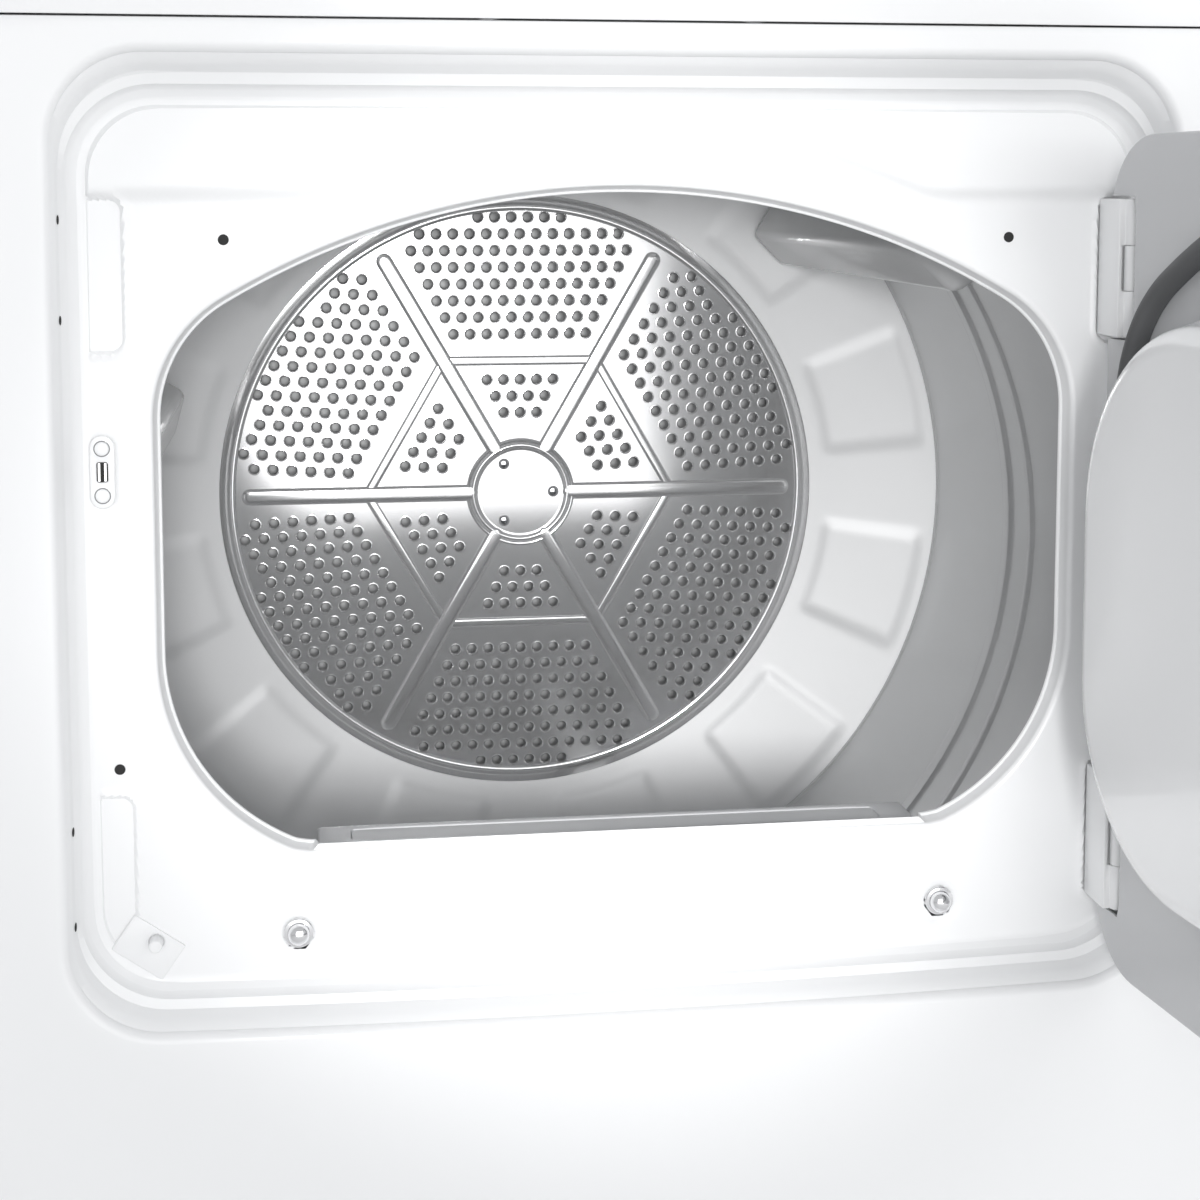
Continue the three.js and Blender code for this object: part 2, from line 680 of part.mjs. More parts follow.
function makeBeltDrive() {
  const y0 = beltPlane - beltWidth / 2;
  const y1 = beltPlane + beltWidth / 2;
  const belt = minus(
    plateAlongY(beltOutline(beltThickness), y0, y1),
    plateAlongY(beltOutline(0), y0 - 1, y1 + 1),
  );
  mesh('drive_belt', belt, darkRubber, dryer);
  const pulley = disc(pulleyRadius, y0 - 1, y1 + 1, motorX, motorHeight, smallSegments);
  const cheek = disc(pulleyRadius + 5, y1 + 1, y1 + 3, motorX, motorHeight, smallSegments);
  const shaft = disc(motorShaftRadius, blowerFront + 14, y1 + 2, motorX, motorHeight, smallSegments);
  mesh('motor_shaft', union(shaft, pulley, cheek), bright, dryer);
  const [ix, iz] = idlerPlace();
  const wheel = ring(idlerAxleRadius + 0.5, idlerRadius, y0, y1, ix, iz, smallSegments);
  mesh('idler_pulley', wheel, greyPlastic, dryer);
  const reachX = idlerPivotX - ix;
  const reachZ = idlerPivotHeight - iz;
  const angle = THREE.MathUtils.radToDeg(Math.atan2(reachZ, reachX));
  const bar = box(0, Math.hypot(reachX, reachZ), y1 + 3, y1 + 6, -9, 9)
    .rotate([0, -angle, 0]).translate([ix, 0, iz]);
  const arm = union(bar, disc(11, y1 + 3, y1 + 6, ix, iz, smallSegments),
    disc(12, y1 + 3, y1 + 6, idlerPivotX, idlerPivotHeight, smallSegments),
    disc(idlerAxleRadius, y0 - 3, y1 + 4, ix, iz, smallSegments));
  const pinHole = disc(5.4, y1, y1 + 10, idlerPivotX, idlerPivotHeight, smallSegments);
  mesh('idler_arm', minus(arm, pinHole), zinc, dryer);
}

// Stands behind the idler arm and carries its pivot pin.
function idlerStand(foot) {
  const y1 = beltPlane + beltWidth / 2;
  return union(
    box(idlerPivotX - 14, idlerPivotX + 14, y1 + 8, y1 + 11, foot, idlerPivotHeight + 14),
    box(idlerPivotX - 14, idlerPivotX + 14, motorRear - 30, y1 + 11, foot, foot + 4),
    disc(5, y1 + 2, y1 + 9, idlerPivotX, idlerPivotHeight, smallSegments),
  );
}

function makeMotor() {
  const body = minus(
    turnAboutY([
      [0, motorFront], [motorRadius * 0.6, motorFront], [motorRadius, motorFront + 14],
      [motorRadius, motorRear - 14], [motorRadius * 0.6, motorRear], [0, motorRear],
    ], motorX, motorHeight, midSegments),
    disc(motorShaftRadius + 0.5, motorFront - 5, motorRear + 5, motorX, motorHeight, smallSegments),
  );
  mesh('motor_body', body, zinc, dryer);
  const foot = baseHeight + sheet + gap;
  const cradle = minus(
    box(motorX - 48, motorX + 48, motorFront + 22, motorRear - 22, foot, motorHeight - 30),
    box(motorX - 36, motorX + 36, motorFront + 10, motorRear - 10, foot + 4, motorHeight - 42),
    disc(motorRadius + gap, motorFront - 5, motorRear + 5, motorX, motorHeight, midSegments),
    box(motorX - 60, motorX + 60, motorFront + 34, motorRear - 34, foot + 4, motorHeight),
  );
  mesh('motor_bracket', cradle.add(idlerStand(foot)), zinc, dryer);
}

function makeBlower() {
  const y0 = blowerFront + 12;
  const back = disc(blowerRadius, y0 + blowerWidth - 3, y0 + blowerWidth, motorX, motorHeight, midSegments);
  const rim = ring(blowerRadius - 14, blowerRadius, y0, y0 + 3, motorX, motorHeight, midSegments);
  const hub = disc(14, y0 + 8, y0 + blowerWidth, motorX, motorHeight, smallSegments);
  const blades = Array.from({ length: bladeCount }, (_, i) =>
    box(blowerRadius - 15, blowerRadius - 0.5, y0 + 1, y0 + blowerWidth - 1, -1, 1)
      .rotate([0, (i * 360) / bladeCount, 0]).translate([motorX, 0, motorHeight]));
  const bore = disc(motorShaftRadius + gap, y0 - 5, y0 + blowerWidth + 5, motorX, motorHeight,
    smallSegments);
  mesh('blower_wheel', minus(union(back, rim, hub, ...blades), bore), greyPlastic, dryer);
  const y1 = blowerFront + blowerHousingDepth;
  const low = exhaustHeight - exhaustRadius - 4;
  const high = exhaustHeight + exhaustRadius + 4;
  const side = -exhaustRadius - 6;
  const outer = disc(blowerHousingRadius, blowerFront, y1, motorX, motorHeight, midSegments)
    .add(box(side, motorX, blowerFront, y1, low, high));
  const inner = disc(blowerHousingRadius - 2, blowerFront + 2, y1 - 2, motorX, motorHeight, midSegments)
    .add(box(side + 2, motorX, blowerFront + 2, y1 - 2, low + 2, high - 2));
  mesh('blower_housing', minus(outer, inner,
    disc(blowerInletRadius, blowerFront - 5, blowerFront + 5, motorX, motorHeight, midSegments),
    disc(motorShaftRadius + 2, y1 - 5, y1 + 5, motorX, motorHeight, smallSegments),
    disc(exhaustRadius - exhaustWall, y1 - 5, y1 + 5, 0, exhaustHeight, midSegments)), zinc, dryer);
  mesh('exhaust_duct', ring(exhaustRadius - exhaustWall, exhaustRadius, y1 + gap, rearY + exhaustStub, 0,
    exhaustHeight, midSegments), zinc, dryer);
}

// ---- lint filter and its duct ----
function makeFilter() {
  const bladeFront = 5;
  const bladeRear = bladeFront + filterBladeThickness;
  const capLow = sillHeight - 8.5;
  const capTop = sillHeight - 0.5;
  const cap = minus(
    box(-filterCapHalfWidth, filterCapHalfWidth, 4, filterCapRear, capLow, capTop),
    box(-filterCapHalfWidth + 18, filterCapHalfWidth - 18, 17, filterCapRear - 6, capLow - 1, capTop + 1),
  );
  const bladeLow = capLow - filterBladeDepth;
  const blade = minus(
    box(-filterBladeHalfWidth, filterBladeHalfWidth, bladeFront, bladeRear, bladeLow, capLow + 2),
    box(-filterBladeHalfWidth + 10, filterBladeHalfWidth - 10, bladeFront - 1, bladeRear - 2,
      bladeLow + 10, capLow - 12),
  );
  mesh('lint_filter', cap.add(blade), paleGrey, dryer);
  const back = drumFront - 0.7;
  const low = bladeLow - 20;
  const front = panelBack + 0.7;
  const right = motorX + blowerInletRadius + 30;
  const left = motorX - blowerInletRadius - 30;
  const plenumBack = blowerFront - gap;
  const plenumLow = motorHeight - blowerInletRadius - 20;
  const plenumTop = axisHeight - drumOuter - 12;
  const duct = union(
    box(-ductHalfWidth, ductHalfWidth, front, back, low, capLow - 3),
    box(left, right, front, plenumBack, plenumLow, plenumTop),
  );
  const hollow = union(
    box(-ductHalfWidth + 1, ductHalfWidth - 1, front + 1, back - 1, low + 1, capLow + 5),
    box(left + 1, right - 1, front + 1, plenumBack - 1, plenumLow + 1, plenumTop - 1),
    disc(blowerInletRadius, front + 5, plenumBack + 5, motorX, motorHeight, midSegments),
  );
  mesh('filter_duct', minus(duct, hollow), zinc, dryer);
}

// ---- small parts on the front panel ----
function switchBlock(y0, y1, grow) {
  const half = [switchLength / 2 + grow, switchWidth / 2 + grow];
  return box(-half[0], half[0], y0, y1, -half[1], half[1])
    .rotate([0, switchAngle, 0]).translate([switchX, 0, switchHeight]);
}

function makeSwitch() {
  const plate = switchBlock(-1.2, 4, 0);
  const bore = disc(switchButtonRadius + 0.5, -10, 10, switchX + 4, switchHeight + 3, smallSegments);
  mesh('door_switch_housing', minus(plate, bore), whitePlastic, dryer);
  const button = disc(switchButtonRadius, -1.2 - switchButtonReach, 3, switchX + 4, switchHeight + 3,
    smallSegments);
  mesh('door_switch_plunger', button, whitePlastic, dryer);
}

function makeStrike() {
  const slot = plateAlongY(pill(strikeX, strikeHeight, strikeWidth - 5, 12), -5, 5);
  const plate = plateAlongY(pill(strikeX, strikeHeight, strikeWidth, strikeLength), -1.6, -gap);
  const heads = [-12, 12].map((dz) => disc(3.2, -2.6, -1.2, strikeX, strikeHeight + dz, 14));
  mesh('strike_plate', union(minus(plate, slot), ...heads), bright, dryer);
}

function makeChromeScrews() {
  for (const [name, side] of [['panel_screw_left', -1], ['panel_screw_right', 1]]) {
    const head = turnAboutY([[0, -6], [3.4, -5.2], [6, -3], [6.6, -gap], [0, -gap]],
      side * chromeScrewX, chromeScrewHeight, smallSegments);
    const stem = disc(2.4, -1, panelBack + 0.4, side * chromeScrewX, chromeScrewHeight, 12);
    mesh(name, head.add(stem), bright, dryer);
  }
}

// ---- door ----
const door = new THREE.Group();
door.position.set(hingeX, hingeY, 0);
door.rotation.z = THREE.MathUtils.degToRad(doorOpenAngle);

// Pieces of the door are drawn as if it were shut, then hung on the hinge axis.
const hang = (name, solid, finish) => mesh(name, solid.translate([-hingeX, -hingeY, 0]), finish, door);

const doorOutline = (inset) => roundedRectangle(doorLeft + inset, doorRight - inset,
  doorBottom + inset, doorTop - inset, doorCornerRadius - inset, 5);

function edgeSections(outer, inner, shrink) {
  const sections = [];
  const steps = 4;
  for (let i = 0; i <= steps; i += 1) {
    const angle = (Math.PI / 2) * (i / steps);
    const inset = doorEdgeRadius * (1 - Math.sin(angle)) + shrink;
    sections.push({ y: outer + doorEdgeRadius * (1 - Math.cos(angle)), outline: doorOutline(inset) });
  }
  sections.push({ y: inner, outline: doorOutline(shrink) });
  return sections;
}

function plugOutline(inset) {
  return roundedRectangle(-plugHalfWidth + inset, plugHalfWidth - inset,
    plugHeight - plugHalfHeight + inset, plugHeight + plugHalfHeight - inset,
    plugCornerRadius - inset, 6);
}

function makeDoor() {
  const outerFace = doorInnerFace - doorThickness;
  const pan = loft(edgeSections(outerFace, doorInnerFace - gap - doorSheet, 0));
  const panHollow = loft(edgeSections(outerFace + doorSheet, doorInnerFace + 5, doorSheet));
  const gripLow = strikeHeight - 130;
  const gripTop = strikeHeight - 40;
  const grip = box(doorLeft - 1, doorLeft + 13, outerFace + 5, doorInnerFace + 2, gripLow, gripTop);
  const reliefs = hingeHeights.map((z) => hingeRelief(z));
  const gripSkin = box(doorLeft - 1, doorLeft + 15, outerFace + 3.5, doorInnerFace - gap - doorSheet,
    gripLow - 2, gripTop + 2).intersect(pan);
  const outer = minus(minus(pan, panHollow).add(gripSkin), grip, ...reliefs);
  hang('door_outer_panel', outer, white);
  const plugSections = (shrink, depth) => [
    { y: doorInnerFace - 0.2 - (shrink ? 5 : 0), outline: plugOutline(shrink) },
    { y: doorInnerFace + depth - 12, outline: plugOutline(shrink + plugTaper * 0.7) },
    { y: doorInnerFace + depth - 4, outline: plugOutline(shrink + plugTaper * 1.2) },
    { y: doorInnerFace + depth, outline: plugOutline(shrink + plugTaper * 2.2) },
  ];
  const innerSheet = plateAlongY(doorOutline(0.5), doorInnerFace - doorSheet, doorInnerFace);
  const inner = minus(
    union(innerSheet, loft(plugSections(0, plugDepth))),
    loft(plugSections(doorSheet, plugDepth - doorSheet)),
    box(doorLeft - 1, doorLeft + 11, doorInnerFace - 5, doorInnerFace + 5, gripLow + 2, gripTop - 2),
    disc(3, doorInnerFace - 5, doorInnerFace + 5, strikeX, strikeHeight, 14),
    ...reliefs,
  ).add(disc(7, doorInnerFace - 1, -1.2 - switchButtonReach - gap, switchX + 4, switchHeight + 3,
    smallSegments));
  hang('door_inner_panel', inner, whitePlastic);
  const gasket = minus(
    plateAlongY(openingOutline(gasketGap + gasketWidth), doorInnerFace + gap, -1),
    plateAlongY(openingOutline(gasketGap), doorInnerFace - 1, 5),
  );
  hang('door_gasket', gasket, darkRubber);
  const catchPin = disc(2.6, doorInnerFace - 6, doorInnerFace + 14, strikeX, strikeHeight, 14);
  const catchHead = turnAboutY([[0, doorInnerFace + 12], [3, doorInnerFace + 13], [3, doorInnerFace + 16],
    [0, doorInnerFace + 20]], strikeX, strikeHeight, 14);
  hang('door_catch', catchPin.add(catchHead), bright);
}

// ---- hinges: a bracket in the recess, a leaf in the door's edge, a pin ----
function hingeRelief(z) {
  const half = hingeLeafHeight / 2 + 1.5;
  const outerFace = doorInnerFace - doorThickness;
  return box(hingeX - 10, doorRight + 5, outerFace + 4, doorInnerFace + 5, z - half, z + half);
}

function knuckle(z0, z1) {
  return minus(
    upright(knuckleRadius, hingeX, hingeY, z0, z1, smallSegments),
    upright(hingePinRadius + gap, hingeX, hingeY, z0 - 1, z1 + 1, smallSegments),
  );
}

function makeHinges() {
  hingeHeights.forEach((z, i) => {
    const place = i === 0 ? 'upper' : 'lower';
    const half = hingeLeafHeight / 2;
    const third = hingeLeafHeight / 6;
    const bore = upright(hingePinRadius + gap, hingeX, hingeY, z - half - 5, z + half + 5, smallSegments);
    const web = box(hingeX - 9, hingeX - 7, hingeY - 1, -1.6, z - half, z + half);
    const foot = box(hingeX - 9, hingeX + 4, -3.6, -1.6, z - half, z + half);
    const arm = box(hingeX - 9, hingeX - 3, hingeY - 1, hingeY + 1, z + third, z + half);
    const armLow = box(hingeX - 9, hingeX - 3, hingeY - 1, hingeY + 1, z - half, z - third);
    const bracket = union(web, foot, arm, armLow,
      upright(knuckleRadius, hingeX, hingeY, z + third, z + half, smallSegments),
      upright(knuckleRadius, hingeX, hingeY, z - half, z - third, smallSegments));
    mesh(`hinge_bracket_${place}`, minus(bracket, bore), zinc, dryer);
    const pin = upright(hingePinRadius, hingeX, hingeY, z - half - 1, z + half + 1);
    mesh(`hinge_pin_${place}`, pin, bright, dryer);
    const leafY = doorInnerFace - doorThickness + 6;
    const tongue = box(hingeX - 3, hingeX + 3, leafY - 2, hingeY, z - third + gap, z + third - gap);
    const blade = box(hingeX - 9.7, hingeX + 3, leafY - 2, leafY, z - half, z + half);
    const leaf = union(knuckle(z - third + gap, z + third - gap), tongue, blade);
    hang(`hinge_leaf_${place}`, minus(leaf, bore), zinc);
  });
}

makeFrontPanel();
makeSidePanels();
makeTopPanel();
makeRearPanel();
makeBase();
makeFeet();
makeConsole();
makeControls();
makeFrontBulkhead();
makeDrum();
makeBaffles();
makeRear();
makeBeltDrive();
makeMotor();
makeBlower();
makeFilter();
makeSwitch();
makeStrike();
makeChromeScrews();
makeDoor();
makeHinges();
dryer.add(door, fascia);

// The origin goes to the ground, below the middle of the box around the dryer with its door open.
dryer.updateMatrixWorld(true);
const bounds = new THREE.Box3().setFromObject(dryer, true);
dryer.position.set(0, -(bounds.min.y + bounds.max.y) / 2, -bounds.min.z);

export default dryer;
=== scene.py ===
# Clothes dryer with its door open: fine surfaces and materials around the fixed model.
import json
import math

import bmesh
import bpy
import numpy as np
from mathutils import Matrix, Vector

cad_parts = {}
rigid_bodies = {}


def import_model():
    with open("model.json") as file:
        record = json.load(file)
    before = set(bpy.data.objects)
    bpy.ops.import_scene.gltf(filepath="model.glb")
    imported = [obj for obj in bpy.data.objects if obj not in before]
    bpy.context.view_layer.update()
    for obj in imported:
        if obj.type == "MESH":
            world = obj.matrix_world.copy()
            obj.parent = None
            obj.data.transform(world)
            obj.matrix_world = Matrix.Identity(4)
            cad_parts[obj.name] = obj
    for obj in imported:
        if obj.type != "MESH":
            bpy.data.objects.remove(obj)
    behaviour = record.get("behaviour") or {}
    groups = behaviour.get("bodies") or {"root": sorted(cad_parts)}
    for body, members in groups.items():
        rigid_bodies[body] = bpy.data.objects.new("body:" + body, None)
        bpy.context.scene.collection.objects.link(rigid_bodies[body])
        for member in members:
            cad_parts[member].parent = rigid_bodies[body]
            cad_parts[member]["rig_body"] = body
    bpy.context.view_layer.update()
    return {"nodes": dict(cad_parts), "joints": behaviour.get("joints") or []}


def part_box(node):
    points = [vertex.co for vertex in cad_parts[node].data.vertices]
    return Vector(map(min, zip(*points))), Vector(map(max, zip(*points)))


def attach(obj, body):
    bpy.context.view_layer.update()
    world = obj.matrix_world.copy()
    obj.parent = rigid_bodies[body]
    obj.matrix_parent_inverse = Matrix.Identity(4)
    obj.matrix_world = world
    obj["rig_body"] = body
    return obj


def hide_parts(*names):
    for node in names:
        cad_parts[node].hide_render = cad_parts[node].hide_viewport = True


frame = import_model()
nodes = frame["nodes"]
joints = {joint["name"]: joint for joint in frame["joints"]}
mm = 0.001

# places that every piece is worked out from
panelLow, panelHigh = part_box("front_panel")
shellLow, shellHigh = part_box("drum_shell")
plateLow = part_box("drum_rear_plate")[0]
frontY = panelLow.y
floorY = frontY + 26 * mm            # floor of the door recess
axisZ = (shellLow.z + shellHigh.z) / 2
plateY = plateLow.y + 2.5 * mm       # face of the rear plate, under its ribs
hingeAt = Vector(joints["door_hinge"]["pos_m"])
openAngle = math.radians(-joints["door_hinge"]["range_deg"][0])


# camera
cameraPlace = {"left": 155.3 * mm, "front": 1007.2 * mm, "height": 796.5 * mm, "turn": 8.096, "tilt": 5.483,
               "lens": 60.855, "across": -0.0025, "rise": -0.18}


def makeCamera():
    camera = bpy.data.cameras.new("camera")
    camera.lens = cameraPlace["lens"]
    camera.sensor_width = 36
    camera.shift_x = cameraPlace["across"]
    camera.shift_y = cameraPlace["rise"]
    camera.clip_start = 0.05
    holder = bpy.data.objects.new("camera", camera)
    holder.location = (-cameraPlace["left"], floorY - cameraPlace["front"], cameraPlace["height"])
    holder.rotation_euler = (math.radians(90 - cameraPlace["tilt"]), 0, -math.radians(cameraPlace["turn"]))
    bpy.context.scene.collection.objects.link(holder)
    bpy.context.scene.camera = holder


makeCamera()
print("camera placed")


# shader groups
def newGroup(name, inputs, outputs):
    group = bpy.data.node_groups.new(name, "ShaderNodeTree")
    for label, kind, value in inputs:
        socket = group.interface.new_socket(name=label, in_out="INPUT", socket_type=kind)
        if value is not None:
            socket.default_value = value
    for label, kind in outputs:
        group.interface.new_socket(name=label, in_out="OUTPUT", socket_type=kind)
    enter = group.nodes.new("NodeGroupInput")
    leave = group.nodes.new("NodeGroupOutput")
    return group, enter, leave


def addNode(tree, kind, links=(), **settings):
    node = tree.nodes.new(kind)
    for key, value in settings.items():
        setattr(node, key, value)
    for socket, source in links:
        if hasattr(source, "is_linked"):
            tree.links.new(source, node.inputs[socket])
        else:
            node.inputs[socket].default_value = source
    return node


def makeToneGroup():
    # slow drift of tone and gloss, as on any large sheet
    group, enter, leave = newGroup("surfaceDrift", [
        ("Color", "NodeSocketColor", (0.8, 0.8, 0.8, 1)),
        ("Tone", "NodeSocketFloat", 0.04),
        ("Roughness", "NodeSocketFloat", 0.4),
        ("Gloss Drift", "NodeSocketFloat", 0.05),
        ("Scale", "NodeSocketFloat", 4.0),
    ], [("Color", "NodeSocketColor"), ("Roughness", "NodeSocketFloat")])
    place = addNode(group, "ShaderNodeTexCoord")
    noise = addNode(group, "ShaderNodeTexNoise", [("Vector", place.outputs["Object"]),
                    ("Scale", enter.outputs["Scale"]), ("Detail", 5.0), ("Roughness", 0.55)])
    centred = addNode(group, "ShaderNodeMath", [(0, noise.outputs["Fac"]), (1, 0.5)], operation="SUBTRACT")
    tone = addNode(group, "ShaderNodeMath", [(0, centred.outputs[0]), (1, enter.outputs["Tone"]), (2, 1.0)],
                   operation="MULTIPLY_ADD")
    shade = addNode(group, "ShaderNodeVectorMath", [(0, enter.outputs["Color"]), ("Scale", tone.outputs[0])],
                    operation="SCALE")
    gloss = addNode(group, "ShaderNodeMath", [(0, centred.outputs[0]), (1, enter.outputs["Gloss Drift"]),
                    (2, enter.outputs["Roughness"])], operation="MULTIPLY_ADD")
    group.links.new(shade.outputs[0], leave.inputs["Color"])
    group.links.new(gloss.outputs[0], leave.inputs["Roughness"])
    return group


def makeGrainGroup():
    # fine relief: orange peel on paint, brushing on steel, moulding grain on plastic
    group, enter, leave = newGroup("fineRelief", [
        ("Stretch", "NodeSocketVector", (1, 1, 1)),
        ("Scale", "NodeSocketFloat", 300.0),
        ("Strength", "NodeSocketFloat", 0.1),
        ("Depth", "NodeSocketFloat", 0.0001),
    ], [("Normal", "NodeSocketVector"), ("Mask", "NodeSocketFloat")])
    place = addNode(group, "ShaderNodeTexCoord")
    pull = addNode(group, "ShaderNodeVectorMath", [(0, place.outputs["Object"]),
                   (1, enter.outputs["Stretch"])], operation="MULTIPLY")
    noise = addNode(group, "ShaderNodeTexNoise", [("Vector", pull.outputs[0]),
                    ("Scale", enter.outputs["Scale"]), ("Detail", 3.0)])
    bump = addNode(group, "ShaderNodeBump", [("Height", noise.outputs["Fac"]),
                   ("Strength", enter.outputs["Strength"]), ("Distance", enter.outputs["Depth"])])
    group.links.new(bump.outputs["Normal"], leave.inputs["Normal"])
    group.links.new(noise.outputs["Fac"], leave.inputs["Mask"])
    return group


surfaceDrift = makeToneGroup()
fineRelief = makeGrainGroup()


def makeFinish(name, color, roughness, metallic=0.0, tone=0.04, drift=0.05, driftScale=4.0, grain=300.0,
               strength=0.1, depth=0.1, stretch=(1, 1, 1), coat=0.0, coatRoughness=0.1, sheen=0.0,
               specular=0.5):
    material = bpy.data.materials.new(name)
    material.use_nodes = True
    tree = material.node_tree
    shader = tree.nodes["Principled BSDF"]
    shader.inputs["Metallic"].default_value = metallic
    shader.inputs["Coat Weight"].default_value = coat
    shader.inputs["Coat Roughness"].default_value = coatRoughness
    shader.inputs["Sheen Weight"].default_value = sheen
    shader.inputs["Specular IOR Level"].default_value = specular
    tones = addNode(tree, "ShaderNodeGroup", node_tree=surfaceDrift)
    for label, value in (("Color", (*color, 1)), ("Tone", tone), ("Roughness", roughness),
                         ("Gloss Drift", drift), ("Scale", driftScale)):
        tones.inputs[label].default_value = value
    relief = addNode(tree, "ShaderNodeGroup", node_tree=fineRelief)
    for label, value in (("Stretch", stretch), ("Scale", grain), ("Strength", strength),
                         ("Depth", depth * mm)):
        relief.inputs[label].default_value = value
    tree.links.new(tones.outputs["Color"], shader.inputs["Base Color"])
    tree.links.new(tones.outputs["Roughness"], shader.inputs["Roughness"])
    tree.links.new(relief.outputs["Normal"], shader.inputs["Normal"])
    return material


whiteEnamel = makeFinish("whiteEnamel", (0.86, 0.865, 0.87), 0.32, tone=0.015, drift=0.05, grain=420,
                         strength=0.05, depth=0.05, coat=0.35, coatRoughness=0.12)
# darker copy of doorWhite: painted shade on the door's inner sheet round the plug
doorSheetShade = makeFinish("doorSheetShade", (0.56, 0.565, 0.575), 0.3, tone=0.03, drift=0.05, grain=380,
                        strength=0.04, depth=0.05, coat=0.4, coatRoughness=0.12)
doorWhite = makeFinish("doorWhite", (0.86, 0.865, 0.87), 0.26, tone=0.012, drift=0.04, grain=380,
                       strength=0.04, depth=0.05, coat=0.5, coatRoughness=0.08)
drumSatin = makeFinish("drumSatin", (0.74, 0.745, 0.75), 0.26, metallic=0.45, tone=0.06, drift=0.08,
                       grain=500, strength=0.05, depth=0.05, stretch=(1, 0.06, 1))
coneSatin = makeFinish("coneSatin", (0.86, 0.865, 0.87), 0.42, metallic=0.1, tone=0.05, drift=0.08,
                       grain=500, strength=0.05, depth=0.05)
mirrorSteel = makeFinish("mirrorSteel", (0.86, 0.86, 0.865), 0.13, metallic=0.8, tone=0.02, drift=0.04,
                         grain=120, strength=0.03, depth=0.05)
zincSteel = makeFinish("zincSteel", (0.50, 0.51, 0.52), 0.42, metallic=0.9, tone=0.22, drift=0.2,
                       driftScale=35, grain=260, strength=0.08, depth=0.1)
polishedScrew = makeFinish("polishedScrew", (0.82, 0.82, 0.83), 0.08, metallic=1.0, tone=0.03, drift=0.04,
                           driftScale=60, grain=700, strength=0.03, depth=0.05)
gasketRubber = makeFinish("gasketRubber", (0.115, 0.117, 0.12), 0.62, tone=0.15, drift=0.12, driftScale=25,
                          grain=900, strength=0.25, depth=0.1)
darkRubber = makeFinish("darkRubber", (0.035, 0.035, 0.037), 0.7, tone=0.2, drift=0.1, driftScale=30,
                        grain=900, strength=0.3, depth=0.1)
sealFelt = makeFinish("sealFelt", (0.34, 0.34, 0.33), 0.95, tone=0.25, drift=0.05, driftScale=60, grain=1400,
                      strength=0.6, depth=0.4, sheen=0.5)
filterPlastic = makeFinish("filterPlastic", (0.60, 0.605, 0.615), 0.42, tone=0.03, drift=0.08, grain=1600,
                           strength=0.22, depth=0.1)
whitePlastic = makeFinish("whitePlastic", (0.84, 0.845, 0.85), 0.36, tone=0.02, drift=0.05, grain=1300,
                          strength=0.1, depth=0.08)
greyPlastic = makeFinish("greyPlastic", (0.20, 0.205, 0.21), 0.5, tone=0.08, drift=0.1, grain=1300,
                         strength=0.15, depth=0.1)
paleSheet = makeFinish("paleSheet", (0.74, 0.745, 0.75), 0.5, metallic=0.2, tone=0.08, driftScale=30,
                       grain=260, strength=0.06)
# near-black finish: painted shade for the insides of holes, wells and vent slots
paintedHollowShade = makeFinish("paintedHollowShade", (0.02, 0.02, 0.02), 0.8, tone=0.1)
finishOf = {"white_enamel": whiteEnamel, "zinc_steel": zincSteel, "drum_grey": drumSatin,
            "bright_steel": mirrorSteel, "rubber": darkRubber, "felt": sealFelt,
            "pale_plastic": filterPlastic, "white_plastic": whitePlastic, "grey_plastic": greyPlastic}
print("finishes made")


# mesh helpers
def meshObject(name, points, faces, materials, smoothAngle=35):
    mesh = bpy.data.meshes.new(name)
    mesh.from_pydata([tuple(p) for p in points], [], [tuple(f) for f in faces])
    mesh.validate()
    for material in materials:
        mesh.materials.append(material)
    piece = bpy.data.objects.new(name, mesh)
    bpy.context.scene.collection.objects.link(piece)
    smooth(piece, smoothAngle)
    return piece


def smooth(piece, angle=35):
    piece.data.shade_smooth()
    piece.data.set_sharp_from_angle(angle=math.radians(angle))


def skin(loops, wrap=False, capFirst=False, capLast=False):
    # quads between loops of equal count; the loops run the same way round
    rows = np.array(loops, float)
    count = rows.shape[1]
    points = rows.reshape(-1, 3)
    here = np.arange(count)
    there = np.roll(here, -1)
    pairs = [(r, r + 1) for r in range(len(rows) - 1)]
    if wrap:
        pairs.append((len(rows) - 1, 0))
    faces = []
    for a, b in pairs:
        corners = [here + a * count, there + a * count, there + b * count, here + b * count]
        faces.extend(np.stack(corners, 1).tolist())
    if capFirst:
        faces.append(here[::-1].tolist())
    if capLast:
        faces.append((here + (len(rows) - 1) * count).tolist())
    return points, faces


def joined(parts):
    points, faces, start = [], [], 0
    for partPoints, partFaces in parts:
        points.extend(np.asarray(partPoints).tolist())
        faces.extend([[i + start for i in face] for face in partFaces])
        start += len(partPoints)
    return points, faces


def outward(piece):
    # closed shells: all faces turned to the outside
    work = bmesh.new()
    work.from_mesh(piece.data)
    bmesh.ops.remove_doubles(work, verts=work.verts, dist=1e-6)
    bmesh.ops.recalc_face_normals(work, faces=work.faces)
    work.to_mesh(piece.data)
    work.free()
    smooth(piece)
    return piece


def bevelled(piece, width, segments=3, angle=30):
    modifier = piece.modifiers.new("bevel", "BEVEL")
    modifier.width = width
    modifier.segments = segments
    modifier.limit_method = "ANGLE"
    modifier.angle_limit = math.radians(angle)
    modifier.harden_normals = False
    return applied(piece)


def applied(piece):
    depsgraph = bpy.context.evaluated_depsgraph_get()
    result = bpy.data.meshes.new_from_object(piece.evaluated_get(depsgraph))
    old = piece.data
    piece.modifiers.clear()
    piece.data = result
    bpy.data.meshes.remove(old)
    smooth(piece)
    return piece


def settle(piece, body, slot, *replaced):
    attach(piece, body)
    if replaced:
        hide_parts(*replaced)
    return piece


def arcPoints(cx, cz, radius, start, end, steps):
    angles = np.radians(np.linspace(start, end, steps + 1))
    return [(cx + radius * math.cos(a), cz + radius * math.sin(a)) for a in angles]


